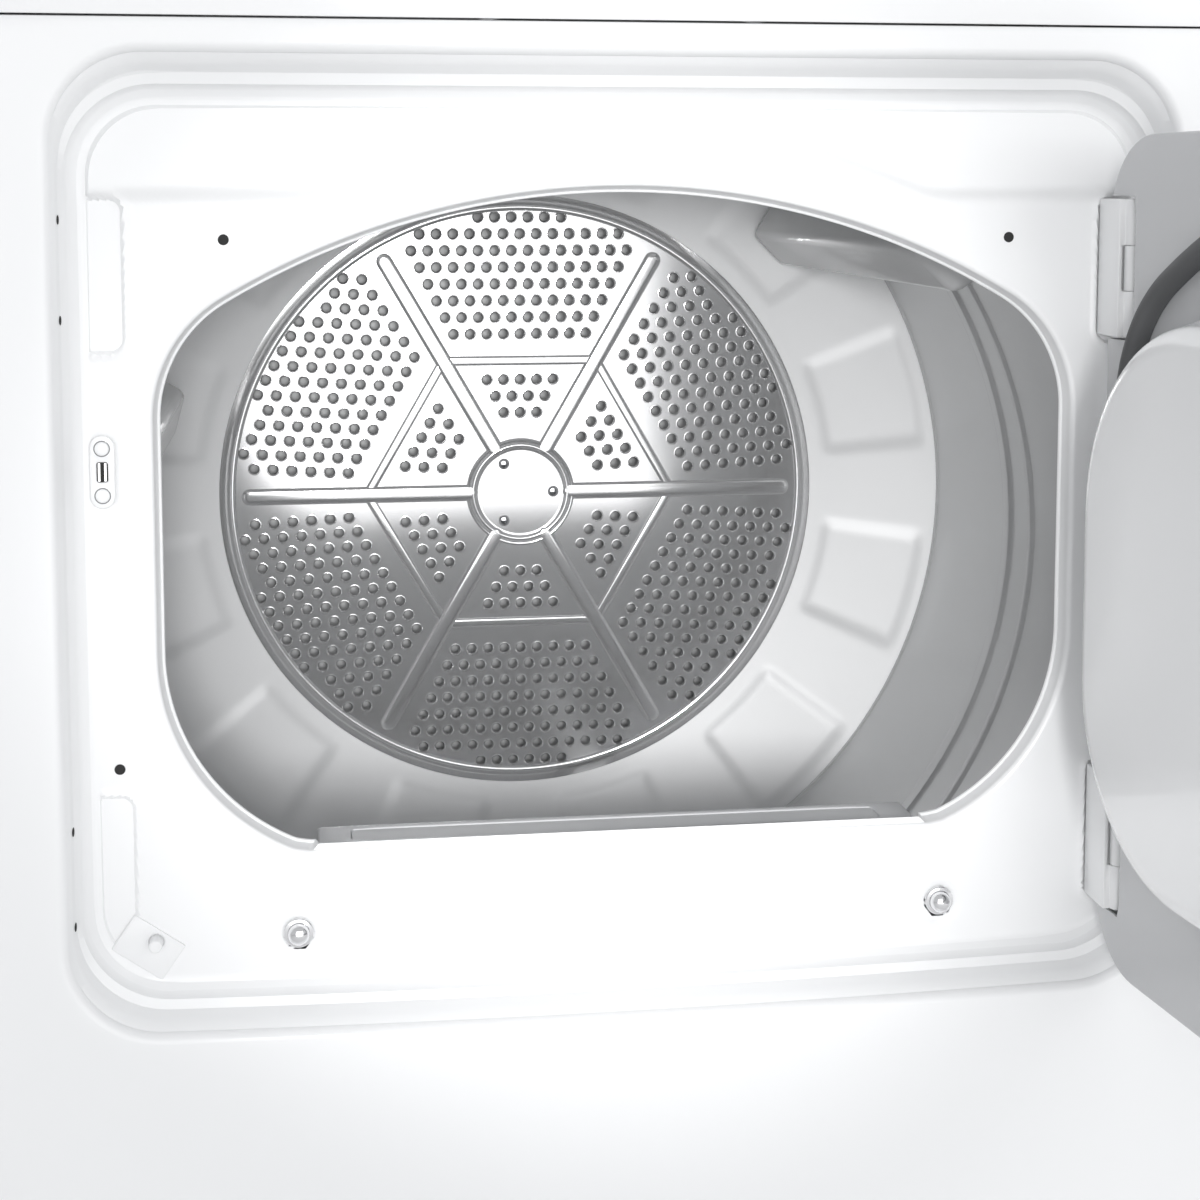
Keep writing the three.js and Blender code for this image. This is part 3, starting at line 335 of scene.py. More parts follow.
def roundedOutline(x0, x1, z0, z1, radius, steps=14):
    radius = min(radius, (x1 - x0) / 2, (z1 - z0) / 2)
    return (arcPoints(x1 - radius, z0 + radius, radius, -90, 0, steps)
            + arcPoints(x1 - radius, z1 - radius, radius, 0, 90, steps)
            + arcPoints(x0 + radius, z1 - radius, radius, 90, 180, steps)
            + arcPoints(x0 + radius, z0 + radius, radius, 180, 270, steps))


def rayLoop(outline, centre, angles):
    # where rays from the centre leave a star-shaped outline
    points = np.array(outline, float) - np.array(centre)
    following = np.roll(points, -1, 0)
    turn = np.arctan2(points[:, 1], points[:, 0])
    turnNext = np.arctan2(following[:, 1], following[:, 0])
    span = (turnNext - turn + math.pi) % (2 * math.pi) - math.pi
    result = np.zeros((len(angles), 2))
    for k, angle in enumerate(angles):
        offset = (angle - turn + math.pi) % (2 * math.pi) - math.pi
        inside = np.where((offset >= -1e-9) & (offset <= span + 1e-9) & (span > 1e-9))[0]
        i = inside[0]
        direction = np.array([math.cos(angle), math.sin(angle)])
        edge = following[i] - points[i]
        across = direction[0] * edge[1] - direction[1] * edge[0]
        reach = (points[i][0] * edge[1] - points[i][1] * edge[0]) / across
        result[k] = direction * reach + np.array(centre)
    return result


def lathe(profile, centreX, centreZ, count, wrap=True):
    # a profile of (radius, y) turned about a line along Y
    angles = np.linspace(0, 2 * math.pi, count, endpoint=False)
    loops = [[(centreX + r * math.cos(a), y, centreZ + r * math.sin(a)) for a in angles] for r, y in profile]
    return skin(loops, wrap=wrap)


def easeStep(value, width):
    t = np.clip(value / width + 0.5, 0, 1)
    return t * t * (3 - 2 * t)


# door opening outline
opening = {"halfWidth": 234.5 * mm, "top": 798 * mm, "sill": 464 * mm, "sillHalf": 161 * mm,
           "archRadius": 393 * mm, "upperRadius": 70 * mm, "lowerRadius": 110 * mm}


def openingOutline(grow=0.0):
    half = opening["halfWidth"] + grow
    arch = opening["archRadius"] + grow
    archCentre = opening["top"] - opening["archRadius"]
    corner = opening["upperRadius"] + grow
    cornerX = half - corner
    cornerZ = archCentre + math.sqrt((arch - corner) ** 2 - cornerX ** 2)
    archEnd = math.degrees(math.atan2(cornerZ - archCentre, cornerX))
    lower = opening["lowerRadius"] + grow
    lowerX = half - lower
    lowerZ = opening["sill"] + 102 * mm
    right = [(opening["sillHalf"], opening["sill"] - grow)]
    right += arcPoints(lowerX, lowerZ, lower, -66, 0, 26)
    right += arcPoints(cornerX, cornerZ, corner, 0, archEnd, 22)
    right += arcPoints(0, archCentre, arch, archEnd, 90, 40)[1:]
    left = [(-x, z) for x, z in reversed(right[:-1])]
    return right + left


# front panel
panelLook = {"points": 1080, "edgeRadius": 5 * mm, "floorRadius": 10 * mm, "recessHalf": 278 * mm,
             "recessTop": 861 * mm, "recessBottom": 384 * mm, "corner": 44 * mm, "bow": 4 * mm,
             "sideDraft": 4 * mm, "topDraft": 14 * mm, "bottomDraft": 11 * mm, "floorRows": 40,
             "lipDepth": 10 * mm, "lipTaper": 2 * mm, "sheet": 1.2 * mm, "padRise": 3.2 * mm,
             "pocketDepth": 2.4 * mm, "pocketHeights": (755, 458.5), "centre": (0.0, 0.62)}


def recessOutline(share, grow=0.0):
    look = panelLook
    half = look["recessHalf"] - look["sideDraft"] * share + grow
    return roundedOutline(-half, half, look["recessBottom"] + look["bottomDraft"] * share - grow,
                          look["recessTop"] - look["topDraft"] * share + grow, look["corner"] + grow)


def panelRelief(x, z):
    # how far the recess floor stands proud, towards the front
    side = np.abs(x)
    line = np.interp(side / mm, [0, 88, 100, 155, 163, 300], [819, 819, 815.5, 795, 794, 794]) * mm
    above = easeStep(z - line, 7 * mm)
    inner = easeStep(side - 80 * mm, 14 * mm)
    rise = above * (0.35 + 0.65 * inner) * panelLook["padRise"]
    for height in panelLook["pocketHeights"]:
        dx = np.maximum(254 * mm - side, 0)
        dz = np.maximum(np.abs(z - height * mm) - 31 * mm, 0)
        reach = np.sqrt(dx ** 2 + dz ** 2)
        rise = rise - easeStep(6 * mm - reach, 2.5 * mm) * panelLook["pocketDepth"]
        rise = rise + np.exp(-((reach - 8 * mm) / (1.7 * mm)) ** 2) * 0.9 * mm
    for sx in (-1, 1):
        away = np.hypot(x - sx * 167.5 * mm, z - 422 * mm)
        rise = rise - easeStep(10.5 * mm - away, 4 * mm) * 1.2 * mm
    away = np.hypot(x + 259 * mm, np.maximum(np.abs(z - 659 * mm) - 12 * mm, 0))
    rise = rise - easeStep(7.2 * mm - away, 1.5 * mm) * 0.5 * mm
    return rise


def makeFrontPanel():
    look = panelLook
    centre = look["centre"]
    halfWidth = panelHigh.x
    corners = [(sx * halfWidth, z) for z in (panelLow.z, panelHigh.z) for sx in (-1, 1)]
    angles = np.linspace(-math.pi, math.pi, look["points"], endpoint=False)
    for x, z in corners:
        corner = math.atan2(z - centre[1], x - centre[0])
        angles[np.argmin(np.abs(angles - corner))] = corner
    rows = []

    def add(flat, y, bow=0.0):
        flat = np.array(flat)
        under = flat[:, 1] < centre[1] - 0.1
        dip = bow * np.clip(1 - (flat[:, 0] / (275 * mm)) ** 2, 0, 1) * under
        y = np.broadcast_to(y, len(flat))
        rows.append(np.stack([flat[:, 0], y, flat[:, 1] - dip], 1))

    def rectangle(inset):
        x, low, high = halfWidth - inset, panelLow.z + inset, panelHigh.z - inset
        return rayLoop([(x, low), (x, high), (-x, high), (-x, low)], centre, angles)

    for inset, back in ((0, 1.5), (0, 1.1), (0.35, 0.35), (1.1, 0)):
        add(rectangle(inset * mm), frontY + back * mm)
    face = rectangle(1.1 * mm)
    edge = look["edgeRadius"]
    rim = rayLoop(recessOutline(0, edge), centre, angles)
    for share in (0.4, 0.75, 0.93):
        add(face * (1 - share) + rim * share, frontY, look["bow"] * share ** 3)
    for step in range(7):
        a = math.radians(90 * step / 6)
        add(rayLoop(recessOutline(0, edge * (1 - math.sin(a))), centre, angles),
            frontY + edge * (1 - math.cos(a)), look["bow"])
    depth = floorY - frontY
    soft = look["floorRadius"]
    for y in np.linspace(edge, depth - soft, 5)[1:]:
        add(rayLoop(recessOutline(y / depth), centre, angles), frontY + y, look["bow"])
    for step in range(1, 9):
        a = math.radians(90 * step / 8)
        add(rayLoop(recessOutline(1, -soft * (1 - math.cos(a))), centre, angles),
            floorY - soft + soft * math.sin(a), look["bow"])
    start = rayLoop(recessOutline(1, -soft), centre, angles)
    lip = 3 * mm
    stop = rayLoop(openingOutline(lip), centre, angles)
    for share in np.linspace(0, 1, look["floorRows"] + 1)[1:]:
        flat = start * (1 - share) + stop * share
        add(flat, floorY - panelRelief(flat[:, 0], flat[:, 1]) * min(1, (1 - share) * 12),
            look["bow"] * (1 - share) ** 2)
    edgeFlat = rayLoop(openingOutline(0), centre, angles)
    atSill = np.abs(edgeFlat[:, 0]) < opening["sillHalf"] - 1 * mm
    atSill = atSill & (edgeFlat[:, 1] < opening["sill"] + 2 * mm)
    short = np.where(atSill, 0.28, 1.0)
    for step in range(1, 6):
        a = math.radians(90 * step / 5)
        add(rayLoop(openingOutline(lip * (1 - math.sin(a))), centre, angles),
            floorY + lip * (1 - math.cos(a)) * np.where(atSill, 0.7, 1))
    wall = look["lipDepth"]
    taper = look["lipTaper"]
    for share, inset in ((0.6, 0.45), (0.82, 0.8), (0.9, 1.35), (1.0, 1.5), (1.07, 1.1), (1.09, 0.4)):
        add(rayLoop(openingOutline(-taper * inset), centre, angles),
            floorY + np.maximum(wall * share * short, 2.1 * mm))
    sheet = look["sheet"]
    add(rayLoop(openingOutline(sheet * 0.6), centre, angles), floorY + np.maximum(wall * short, 2.0 * mm))
    add(rayLoop(openingOutline(sheet), centre, angles), floorY + sheet * 1.5)
    add(rayLoop(openingOutline(lip + sheet), centre, angles), floorY + sheet)
    add(rayLoop(recessOutline(1, -soft + sheet), centre, angles), floorY + sheet, look["bow"])
    add(rayLoop(recessOutline(1, sheet), centre, angles), floorY - soft * 0.6, look["bow"])
    add(rayLoop(recessOutline(0, edge + sheet), centre, angles), frontY + sheet, look["bow"])
    add(rectangle(2 * mm), frontY + 1.5 * mm)
    piece = meshObject("front_panel_enamel", *skin(rows, wrap=True), [whiteEnamel], 50)
    outward(piece)
    settle(piece, "cabinet", "white_enamel", "front_panel")


makeFrontPanel()
print("front panel made")


# geometry node trees
def makeTree(name, inputs):
    tree = bpy.data.node_groups.new(name, "GeometryNodeTree")
    tree.interface.new_socket(name="Geometry", in_out="INPUT", socket_type="NodeSocketGeometry")
    for label, kind, value in inputs:
        socket = tree.interface.new_socket(name=label, in_out="INPUT", socket_type=kind)
        if value is not None:
            socket.default_value = value
    tree.interface.new_socket(name="Geometry", in_out="OUTPUT", socket_type="NodeSocketGeometry")
    return tree, tree.nodes.new("NodeGroupInput"), tree.nodes.new("NodeGroupOutput")


def merged(tree, *sockets):
    join = tree.nodes.new("GeometryNodeJoinGeometry")
    for socket in sockets:
        tree.links.new(socket, join.inputs[0])
    return join.outputs[0]


def finishTree(tree, enter, leave, socket):
    real = addNode(tree, "GeometryNodeRealizeInstances", [("Geometry", socket)])
    painted = addNode(tree, "GeometryNodeSetMaterial", [("Geometry", real.outputs[0]),
                      ("Material", enter.outputs["Finish"])])
    tree.links.new(painted.outputs[0], leave.inputs[0])
    return tree


def grown(name, points, tree, values, angle=35):
    # an object of bare points, with the tree run on them and baked
    mesh = bpy.data.meshes.new(name)
    mesh.from_pydata([tuple(p) for p in points], [], [])
    piece = bpy.data.objects.new(name, mesh)
    bpy.context.scene.collection.objects.link(piece)
    modifier = piece.modifiers.new("grow", "NODES")
    modifier.node_group = tree
    for item in tree.interface.items_tree:
        if item.in_out == "INPUT" and item.name in values:
            modifier[item.identifier] = values[item.name]
    applied(piece)
    smooth(piece, angle)
    return piece


def makePerforatedTree():
    # a round sheet with a rolled lip at each hole, laid out flat and then stood up
    tree, enter, leave = makeTree("perforatedPlate", [
        ("Plate Radius", "NodeSocketFloat", 0.2285), ("Hole Radius", "NodeSocketFloat", 0.004),
        ("Lip", "NodeSocketObject", None), ("Thickness", "NodeSocketFloat", 0.001),
        ("Place", "NodeSocketVector", (0, 0, 0)), ("Finish", "NodeSocketMaterial", None)])
    hole = addNode(tree, "GeometryNodeCurvePrimitiveCircle", [("Resolution", 14),
                   ("Radius", enter.outputs["Hole Radius"])])
    holes = addNode(tree, "GeometryNodeInstanceOnPoints", [("Points", enter.outputs["Geometry"]),
                    ("Instance", hole.outputs[0])])
    cut = addNode(tree, "GeometryNodeRealizeInstances", [("Geometry", holes.outputs[0])])
    rim = addNode(tree, "GeometryNodeCurvePrimitiveCircle", [("Resolution", 180),
                  ("Radius", enter.outputs["Plate Radius"])])
    sheet = addNode(tree, "GeometryNodeFillCurve", [(0, merged(tree, cut.outputs[0], rim.outputs[0]))])
    raised = addNode(tree, "GeometryNodeExtrudeMesh", [("Mesh", sheet.outputs[0]),
                     ("Offset Scale", enter.outputs["Thickness"]), ("Individual", False)])
    under = addNode(tree, "GeometryNodeFlipFaces", [("Mesh", sheet.outputs[0])])
    closed = addNode(tree, "GeometryNodeMergeByDistance", [
        ("Geometry", merged(tree, raised.outputs[0], under.outputs[0])), ("Distance", 1e-5)])
    lip = addNode(tree, "GeometryNodeObjectInfo", [("Object", enter.outputs["Lip"])])
    lips = addNode(tree, "GeometryNodeInstanceOnPoints", [("Points", enter.outputs["Geometry"]),
                   ("Instance", lip.outputs["Geometry"])])
    lift = addNode(tree, "ShaderNodeCombineXYZ", [("Z", enter.outputs["Thickness"])])
    lifted = addNode(tree, "GeometryNodeTransform", [("Geometry", lips.outputs[0]),
                     ("Translation", lift.outputs[0])])
    stood = addNode(tree, "GeometryNodeTransform", [
        ("Geometry", merged(tree, closed.outputs[0], lifted.outputs[0])),
        ("Translation", enter.outputs["Place"]), ("Rotation", (math.pi / 2, 0, 0))])
    return finishTree(tree, enter, leave, stood.outputs[0])


def makeHexScrewTree():
    # washer-head sheet screws standing on points, all facing one way
    tree, enter, leave = makeTree("hexScrews", [
        ("Washer Radius", "NodeSocketFloat", 0.0062), ("Head Radius", "NodeSocketFloat", 0.0042),
        ("Head Height", "NodeSocketFloat", 0.0035), ("Facing", "NodeSocketVector", (0, 1, 0)),
        ("Finish", "NodeSocketMaterial", None)])
    washer = addNode(tree, "GeometryNodeMeshCylinder", [("Vertices", 24), ("Depth", 0.0012),
                     ("Radius", enter.outputs["Washer Radius"])])
    head = addNode(tree, "GeometryNodeMeshCylinder", [("Vertices", 6),
                   ("Depth", enter.outputs["Head Height"]), ("Radius", enter.outputs["Head Radius"])])
    half = addNode(tree, "ShaderNodeMath", [(0, enter.outputs["Head Height"]), (1, 0.5)],
                   operation="MULTIPLY")
    lift = addNode(tree, "ShaderNodeCombineXYZ", [("Z", half.outputs[0])])
    top = addNode(tree, "GeometryNodeTransform", [("Geometry", head.outputs[0]),
                  ("Translation", lift.outputs[0])])
    turn = addNode(tree, "FunctionNodeAlignRotationToVector", [("Vector", enter.outputs["Facing"])], axis="Z")
    put = addNode(tree, "GeometryNodeInstanceOnPoints", [("Points", enter.outputs["Geometry"]),
                  ("Instance", merged(tree, washer.outputs[0], top.outputs[0])),
                  ("Rotation", turn.outputs[0])])
    return finishTree(tree, enter, leave, put.outputs[0])


def makeDomeTree():
    # domed heads: rivets, pan screws, pads
    tree, enter, leave = makeTree("domedHeads", [
        ("Radius", "NodeSocketFloat", 0.004), ("Height", "NodeSocketFloat", 0.002),
        ("Facing", "NodeSocketVector", (0, -1, 0)), ("Finish", "NodeSocketMaterial", None)])
    ball = addNode(tree, "GeometryNodeMeshUVSphere", [("Segments", 28), ("Rings", 14), ("Radius", 1.0)])
    size = addNode(tree, "ShaderNodeCombineXYZ", [("X", enter.outputs["Radius"]),
                   ("Y", enter.outputs["Radius"]), ("Z", enter.outputs["Height"])])
    dome = addNode(tree, "GeometryNodeTransform", [("Geometry", ball.outputs[0]), ("Scale", size.outputs[0])])
    turn = addNode(tree, "FunctionNodeAlignRotationToVector", [("Vector", enter.outputs["Facing"])], axis="Z")
    put = addNode(tree, "GeometryNodeInstanceOnPoints", [("Points", enter.outputs["Geometry"]),
                  ("Instance", dome.outputs[0]), ("Rotation", turn.outputs[0])])
    return finishTree(tree, enter, leave, put.outputs[0])


def makeBarTree():
    # equal bars standing on points: slats, screen wires, louvres, dial marks
    tree, enter, leave = makeTree("equalBars", [
        ("Size", "NodeSocketVector", (0.001, 0.01, 0.001)), ("Turn", "NodeSocketVector", (0, 0, 0)),
        ("Finish", "NodeSocketMaterial", None)])
    bar = addNode(tree, "GeometryNodeMeshCube", [("Size", enter.outputs["Size"])])
    put = addNode(tree, "GeometryNodeInstanceOnPoints", [("Points", enter.outputs["Geometry"]),
                  ("Instance", bar.outputs[0]), ("Rotation", enter.outputs["Turn"])])
    return finishTree(tree, enter, leave, put.outputs[0])


perforatedTree = makePerforatedTree()
hexScrewTree = makeHexScrewTree()
domeTree = makeDomeTree()
barTree = makeBarTree()
print("node trees made")


# rear plate of the drum
rearPlate = {"radius": 228.4 * mm, "holeRadius": 4.35 * mm, "thickness": 0.9 * mm,
             "lip": ((4.9, -0.1), (4.75, 0.28), (4.3, 0.34), (3.95, 0.0), (3.25, -1.7), (3.2, -2.3),
                     (3.6, -2.2), (4.6, -0.6)),
             "pitch": 12.7 * mm, "rows": {211.3: 6, 198.6: 13, 185.9: 14, 173.2: 13, 160.5: 12, 147.8: 11,
                                          135.1: 10, 122.4: 9, 87.3: 5, 74.6: 4, 61.9: 3},
             "ribHalf": 6.3 * mm, "ribFrom": 39 * mm, "ribTip": 212 * mm, "ribHeight": 2.3 * mm,
             "hexCorner": 117.5 * mm, "hexHalf": 3.6 * mm, "hexHeight": 1.6 * mm,
             "rivetCircle": 25.4 * mm, "rivetRadius": 4.2 * mm}


def holeCentres():
    centres = []
    for sector in range(6):
        turn = math.radians(30 + 60 * sector)
        out = Vector((math.cos(turn), math.sin(turn), 0))
        across = Vector((-out.y, out.x, 0))
        for height, count in rearPlate["rows"].items():
            for k in range(count):
                centres.append(out * height * mm + across * (k - (count - 1) / 2) * rearPlate["pitch"])
    return centres


def capsuleBar(start, end, half, height, steps=8):
    # a bar with round ends and a rounded top, standing on the plate towards the front
    start, end = Vector(start), Vector(end)
    along = (end - start).normalized()
    across = Vector((-along.y, along.x))
    loops = []
    for inset, rise in ((0, -0.4 * mm), (0, height * 0.35), (half * 0.06, height * 0.62),
                        (half * 0.2, height * 0.85), (half * 0.42, height * 0.97), (half * 0.7, height)):
        loop = []
        for centre, first in ((end, -90), (start, 90)):
            for k in range(steps + 1):
                a = math.radians(first + 180 * k / steps)
                p = centre + (along * math.cos(a) + across * math.sin(a)) * (half - inset)
                loop.append((p.x, plateY - rise, axisZ + p.y))
        loops.append(loop)
    return skin(loops, capFirst=True, capLast=True)


def solidLathe(profile, centreX, centreZ, count):
    angles = np.linspace(0, 2 * math.pi, count, endpoint=False)
    loops = [[(centreX + r * math.cos(a), y, centreZ + r * math.sin(a)) for a in angles] for r, y in profile]
    return skin(loops, capFirst=True, capLast=True)


def makeRearPlate():
    look = rearPlate
    angles = np.linspace(0, 2 * math.pi, 14, endpoint=False)
    loops = [[(r * mm * math.cos(a), r * mm * math.sin(a), z * mm) for a in angles] for r, z in look["lip"]]
    lip = outward(meshObject("lip", *skin(loops, wrap=True), []))
    sheet = grown("drum_plate_perforated", holeCentres(), perforatedTree, {
        "Plate Radius": look["radius"], "Hole Radius": look["holeRadius"], "Lip": lip,
        "Thickness": look["thickness"], "Place": (0, plateY + look["thickness"], axisZ),
        "Finish": mirrorSteel})
    bpy.data.objects.remove(lip)
    settle(sheet, "drum", "bright_steel", "drum_rear_plate")
    parts = []
    for k in range(6):
        a, b = math.radians(60 * k), math.radians(60 * k + 60)
        tip = look["ribTip"] - look["ribHalf"]
        parts.append(capsuleBar((look["ribFrom"] * math.cos(a), look["ribFrom"] * math.sin(a)),
                                (tip * math.cos(a), tip * math.sin(a)), look["ribHalf"], look["ribHeight"]))
        parts.append(capsuleBar((look["hexCorner"] * math.cos(a), look["hexCorner"] * math.sin(a)),
                                (look["hexCorner"] * math.cos(b), look["hexCorner"] * math.sin(b)),
                                look["hexHalf"], look["hexHeight"]))
    hub = [(0.4, -1.0), (30, -1.0), (32, -1.0), (33, -1.0), (34.4, -1.3), (35.3, -2.1), (36.4, -2.4),
           (37.5, -2.1), (38.2, -1.4), (39, -2.0), (40.2, -2.2),
           (41.2, -1.6), (41.8, -0.2), (41.8, 0.4), (0.4, 0.4)]
    parts.append(solidLathe([(r * mm, plateY + y * mm) for r, y in hub], 0, axisZ, 96))
    rim = [(228.5, 0.6), (228.5, -0.3), (224.5, -0.4), (222.3, -0.8), (221.2, -1.7), (219.6, -2.3),
           (218, -2.0), (216.8, -1.2), (216.2, 0.4)]
    parts.append(lathe([(r * mm, plateY + y * mm) for r, y in rim], 0, axisZ, 220))
    ribs = meshObject("drum_plate_ribs", *joined(parts), [mirrorSteel])
    settle(outward(ribs), "drum", "bright_steel")
    spots = [(look["rivetCircle"] * math.cos(math.radians(a)), plateY - 1.0 * mm,
              axisZ + look["rivetCircle"] * math.sin(math.radians(a))) for a in (0, 120, 240)]
    rivets = grown("drum_plate_rivets", spots, domeTree, {"Radius": look["rivetRadius"], "Height": 1.5 * mm,
                   "Facing": (0, -1, 0), "Finish": polishedScrew})
    settle(rivets, "drum", "bright_steel")


makeRearPlate()
print("rear plate made")


# drum shell, cone and baffles
drumLook = {"segments": 200, "front": 15 * mm, "beads": ((347.5, 15, 2.2), (301, 8, 1.6)),
            "embossCount": 12, "embossHalf": 8.2, "embossInner": 243 * mm,
            "embossOuter": 314 * mm, "embossRise": 1.3 * mm, "embossPhase": 15}


def drumInner(depth):
    # inner radius of the shell at a depth behind the recess floor, in mm
    radius = 325.0
    for middle, width, rise in drumLook["beads"]:
        edge = abs(depth - middle) - width / 2
        radius -= rise * float(1 - easeStep(np.array(edge), 3.0))
    if depth > 506.5:
        radius -= 1.5 * float(easeStep(np.array(depth - 508.2), 2.2))
    return radius


def makeDrumShell():
    depths = sorted(set([15.2, 15.5, 16.5, 19] + list(np.arange(24, 290, 14)) + list(np.arange(290, 362, 1.5))
                        + list(np.arange(366, 503, 9)) + list(np.arange(503, 511.1, 0.8))))
    inner = [(drumInner(d) * mm, floorY + d * mm) for d in depths]
    inner[0] = (325.9 * mm, floorY + 15.0 * mm)
    outer = [((drumInner(d) + 1.0) * mm, floorY + d * mm) for d in reversed(depths)]
    points, faces = lathe(inner + outer, 0, axisZ, drumLook["segments"])
    shell = meshObject("drum_shell_rolled", points, faces, [drumSatin])
    settle(outward(shell), "drum", "drum_grey", "drum_shell")


def coneRelief(radius, angle):
    look = drumLook
    step = 360 / look["embossCount"]
    turn = (np.degrees(angle) - look["embossPhase"] + step / 2) % step - step / 2
    within = easeStep(look["embossHalf"] - np.abs(turn), 2.4)
    along = easeStep(radius - look["embossInner"], 9 * mm) * easeStep(look["embossOuter"] - radius, 9 * mm)
    return within * along * look["embossRise"]


def makeCone():
    count = 540
    angles = np.linspace(0, 2 * math.pi, count, endpoint=False)
    y0 = floorY + 511.4 * mm
    y1 = plateY - 0.2 * mm
    r0, r1 = 325.6 * mm, 228.7 * mm
    rows = []
    for share in np.linspace(0, 1, 34):
        radius = r0 + (r1 - r0) * share
        y = y0 + (y1 - y0) * share - coneRelief(radius, angles)
        rows.append(np.stack([radius * np.cos(angles), y + 0 * angles, axisZ + radius * np.sin(angles)], 1))
    for share in (1.0, 0.9, 0.1, 0.0):
        radius = r0 + (r1 - r0) * share
        y = y0 + (y1 - y0) * share + 1.2 * mm
        rows.append(np.stack([radius * np.cos(angles), y + 0 * angles, axisZ + radius * np.sin(angles)], 1))
    cone = meshObject("drum_cone_embossed", *skin(rows, wrap=True), [coneSatin])
    settle(outward(cone), "drum", "drum_grey", "drum_rear_cone")


def refined(node, width, segments=2, angle=30, material=None, slot=None, name=None, ringed=False):
    # a copy of the frame piece with its edges rounded, ringed for pieces with a hollow underside
    source = nodes[node]
    mesh = source.data.copy()
    piece = bpy.data.objects.new(name or node + "_rounded", mesh)
    bpy.context.scene.collection.objects.link(piece)
    work = bmesh.new()
    work.from_mesh(mesh)
    bmesh.ops.remove_doubles(work, verts=work.verts, dist=2e-6)
    if ringed:
        bmesh.ops.join_triangles(work, faces=work.faces, angle_face_threshold=math.radians(1.0),
                                 angle_shape_threshold=math.pi)
    else:
        bmesh.ops.dissolve_limit(work, angle_limit=math.radians(1.0), verts=work.verts, edges=work.edges)
    work.to_mesh(mesh)
    work.free()
    slotName = slot or source.data.materials[0].name.split(".")[0]
    mesh.materials.clear()
    mesh.materials.append(material or finishOf[slotName])
    bevelled(piece, width, segments, angle)
    settle(piece, source["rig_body"], slotName, node)
    return piece


makeDrumShell()
makeCone()
baffleGrey = makeFinish("baffleGrey", (0.66, 0.665, 0.67), 0.24, metallic=0.15, tone=0.03, drift=0.05,
                        grain=600, strength=0.05, depth=0.05, coat=0.4)
for k in (1, 2, 3):
    refined(f"drum_baffle_{k}", 5 * mm, 4, 25, baffleGrey, "drum_grey")
print("drum made")


# lint filter in the sill
filterLow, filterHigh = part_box("lint_filter")
filterLook = {"halfWidth": 158 * mm, "front": 3.6 * mm, "rear": 42 * mm, "thick": 8 * mm, "edge": 2.4 * mm,
              "mouthHalf": 140 * mm, "mouthFront": 17 * mm, "mouthRear": 36 * mm, "wirePitch": 4.0 * mm,
              "frame": 10 * mm, "bladeHalf": 150 * mm, "bladeFront": 5 * mm, "bladeRear": 12 * mm}


def makeLintFilter():
    look = filterLook
    top = filterHigh.z
    low = top - look["thick"]
    centre = (0.0, floorY + (look["mouthFront"] + look["mouthRear"]) / 2)
    angles = np.linspace(-math.pi, math.pi, 400, endpoint=False)

    def outer(inset, radius=3.0):
        return rayLoop(roundedOutline(-look["halfWidth"] + inset * mm, look["halfWidth"] - inset * mm,
                                      floorY + look["front"] + inset * mm, floorY + look["rear"] - inset * mm,
                                      max(radius - inset, 0.4) * mm, 5), centre, angles)

    def mouth(inset):
        return rayLoop(roundedOutline(-look["mouthHalf"] - inset * mm, look["mouthHalf"] + inset * mm,
                                      floorY + look["mouthFront"] - inset * mm,
                                      floorY + look["mouthRear"] + inset * mm, 4 * mm, 5), centre, angles)

    rows = []
    for flat, height in ((outer(0), low), (outer(0), top - 2.4 * mm), (outer(0.3), top - 1.2 * mm),
                         (outer(0.9), top - 0.4 * mm), (outer(1.8), top), (mouth(1.4), top),
                         (mouth(0.5), top - 0.35 * mm), (mouth(0), top - 1.2 * mm), (mouth(0), low)):
        rows.append([(x, y, height) for x, y in flat])
    cap = meshObject("lint_filter_cap", *skin(rows, wrap=True), [filterPlastic])
    settle(outward(cap), "lint_filter", "pale_plastic", "lint_filter")
    lid = [[(x, y, height) for x, y in mouth(-0.25)] for height in (top - 0.9 * mm, top - 2.4 * mm)]
    lid = meshObject("lint_filter_lid", *skin(lid, capFirst=True, capLast=True), [filterPlastic])
    settle(outward(lid), "lint_filter", "pale_plastic")
    bladeLow = filterLow.z
    bladeMiddle = (bladeLow + low) / 2
    blade = []
    for inset, y in ((0, look["bladeRear"]), (0, look["bladeFront"] + 0.8 * mm),
                     (0.8 * mm, look["bladeFront"]), (look["frame"] - 0.8 * mm, look["bladeFront"]),
                     (look["frame"], look["bladeFront"] + 0.8 * mm), (look["frame"], look["bladeRear"])):
        flat = rayLoop(roundedOutline(-look["bladeHalf"] + inset, look["bladeHalf"] - inset, bladeLow + inset,
                                      low - 0.2 * mm - inset, 8 * mm, 5), (0, bladeMiddle), angles)
        blade.append([(x, floorY + y, z) for x, z in flat])
    frameRing = meshObject("lint_filter_frame", *skin(blade, wrap=True), [filterPlastic])
    settle(outward(frameRing), "lint_filter", "pale_plastic")
    half = look["bladeHalf"] - look["frame"]
    rise = (low - bladeLow) / 2 - look["frame"]
    y = floorY + (look["bladeFront"] + look["bladeRear"]) / 2
    across = [(0, y, bladeMiddle + k * look["wirePitch"]) for k in range(-int(rise / look["wirePitch"]),
                                                                          int(rise / look["wirePitch"]) + 1)]
    upright = [(k * look["wirePitch"], y, bladeMiddle) for k in range(-int(half / look["wirePitch"]),
                                                                      int(half / look["wirePitch"]) + 1)]
    for label, points, size in (("across", across, (2 * half + 2 * mm, 0.5 * mm, 0.5 * mm)),
                                ("upright", upright, (0.5 * mm, 0.5 * mm, 2 * rise + 2 * mm))):
        wires = grown("lint_screen_" + label, points, barTree, {"Size": size, "Finish": greyPlastic})
        settle(wires, "lint_filter", "pale_plastic")


makeLintFilter()
print("lint filter made")


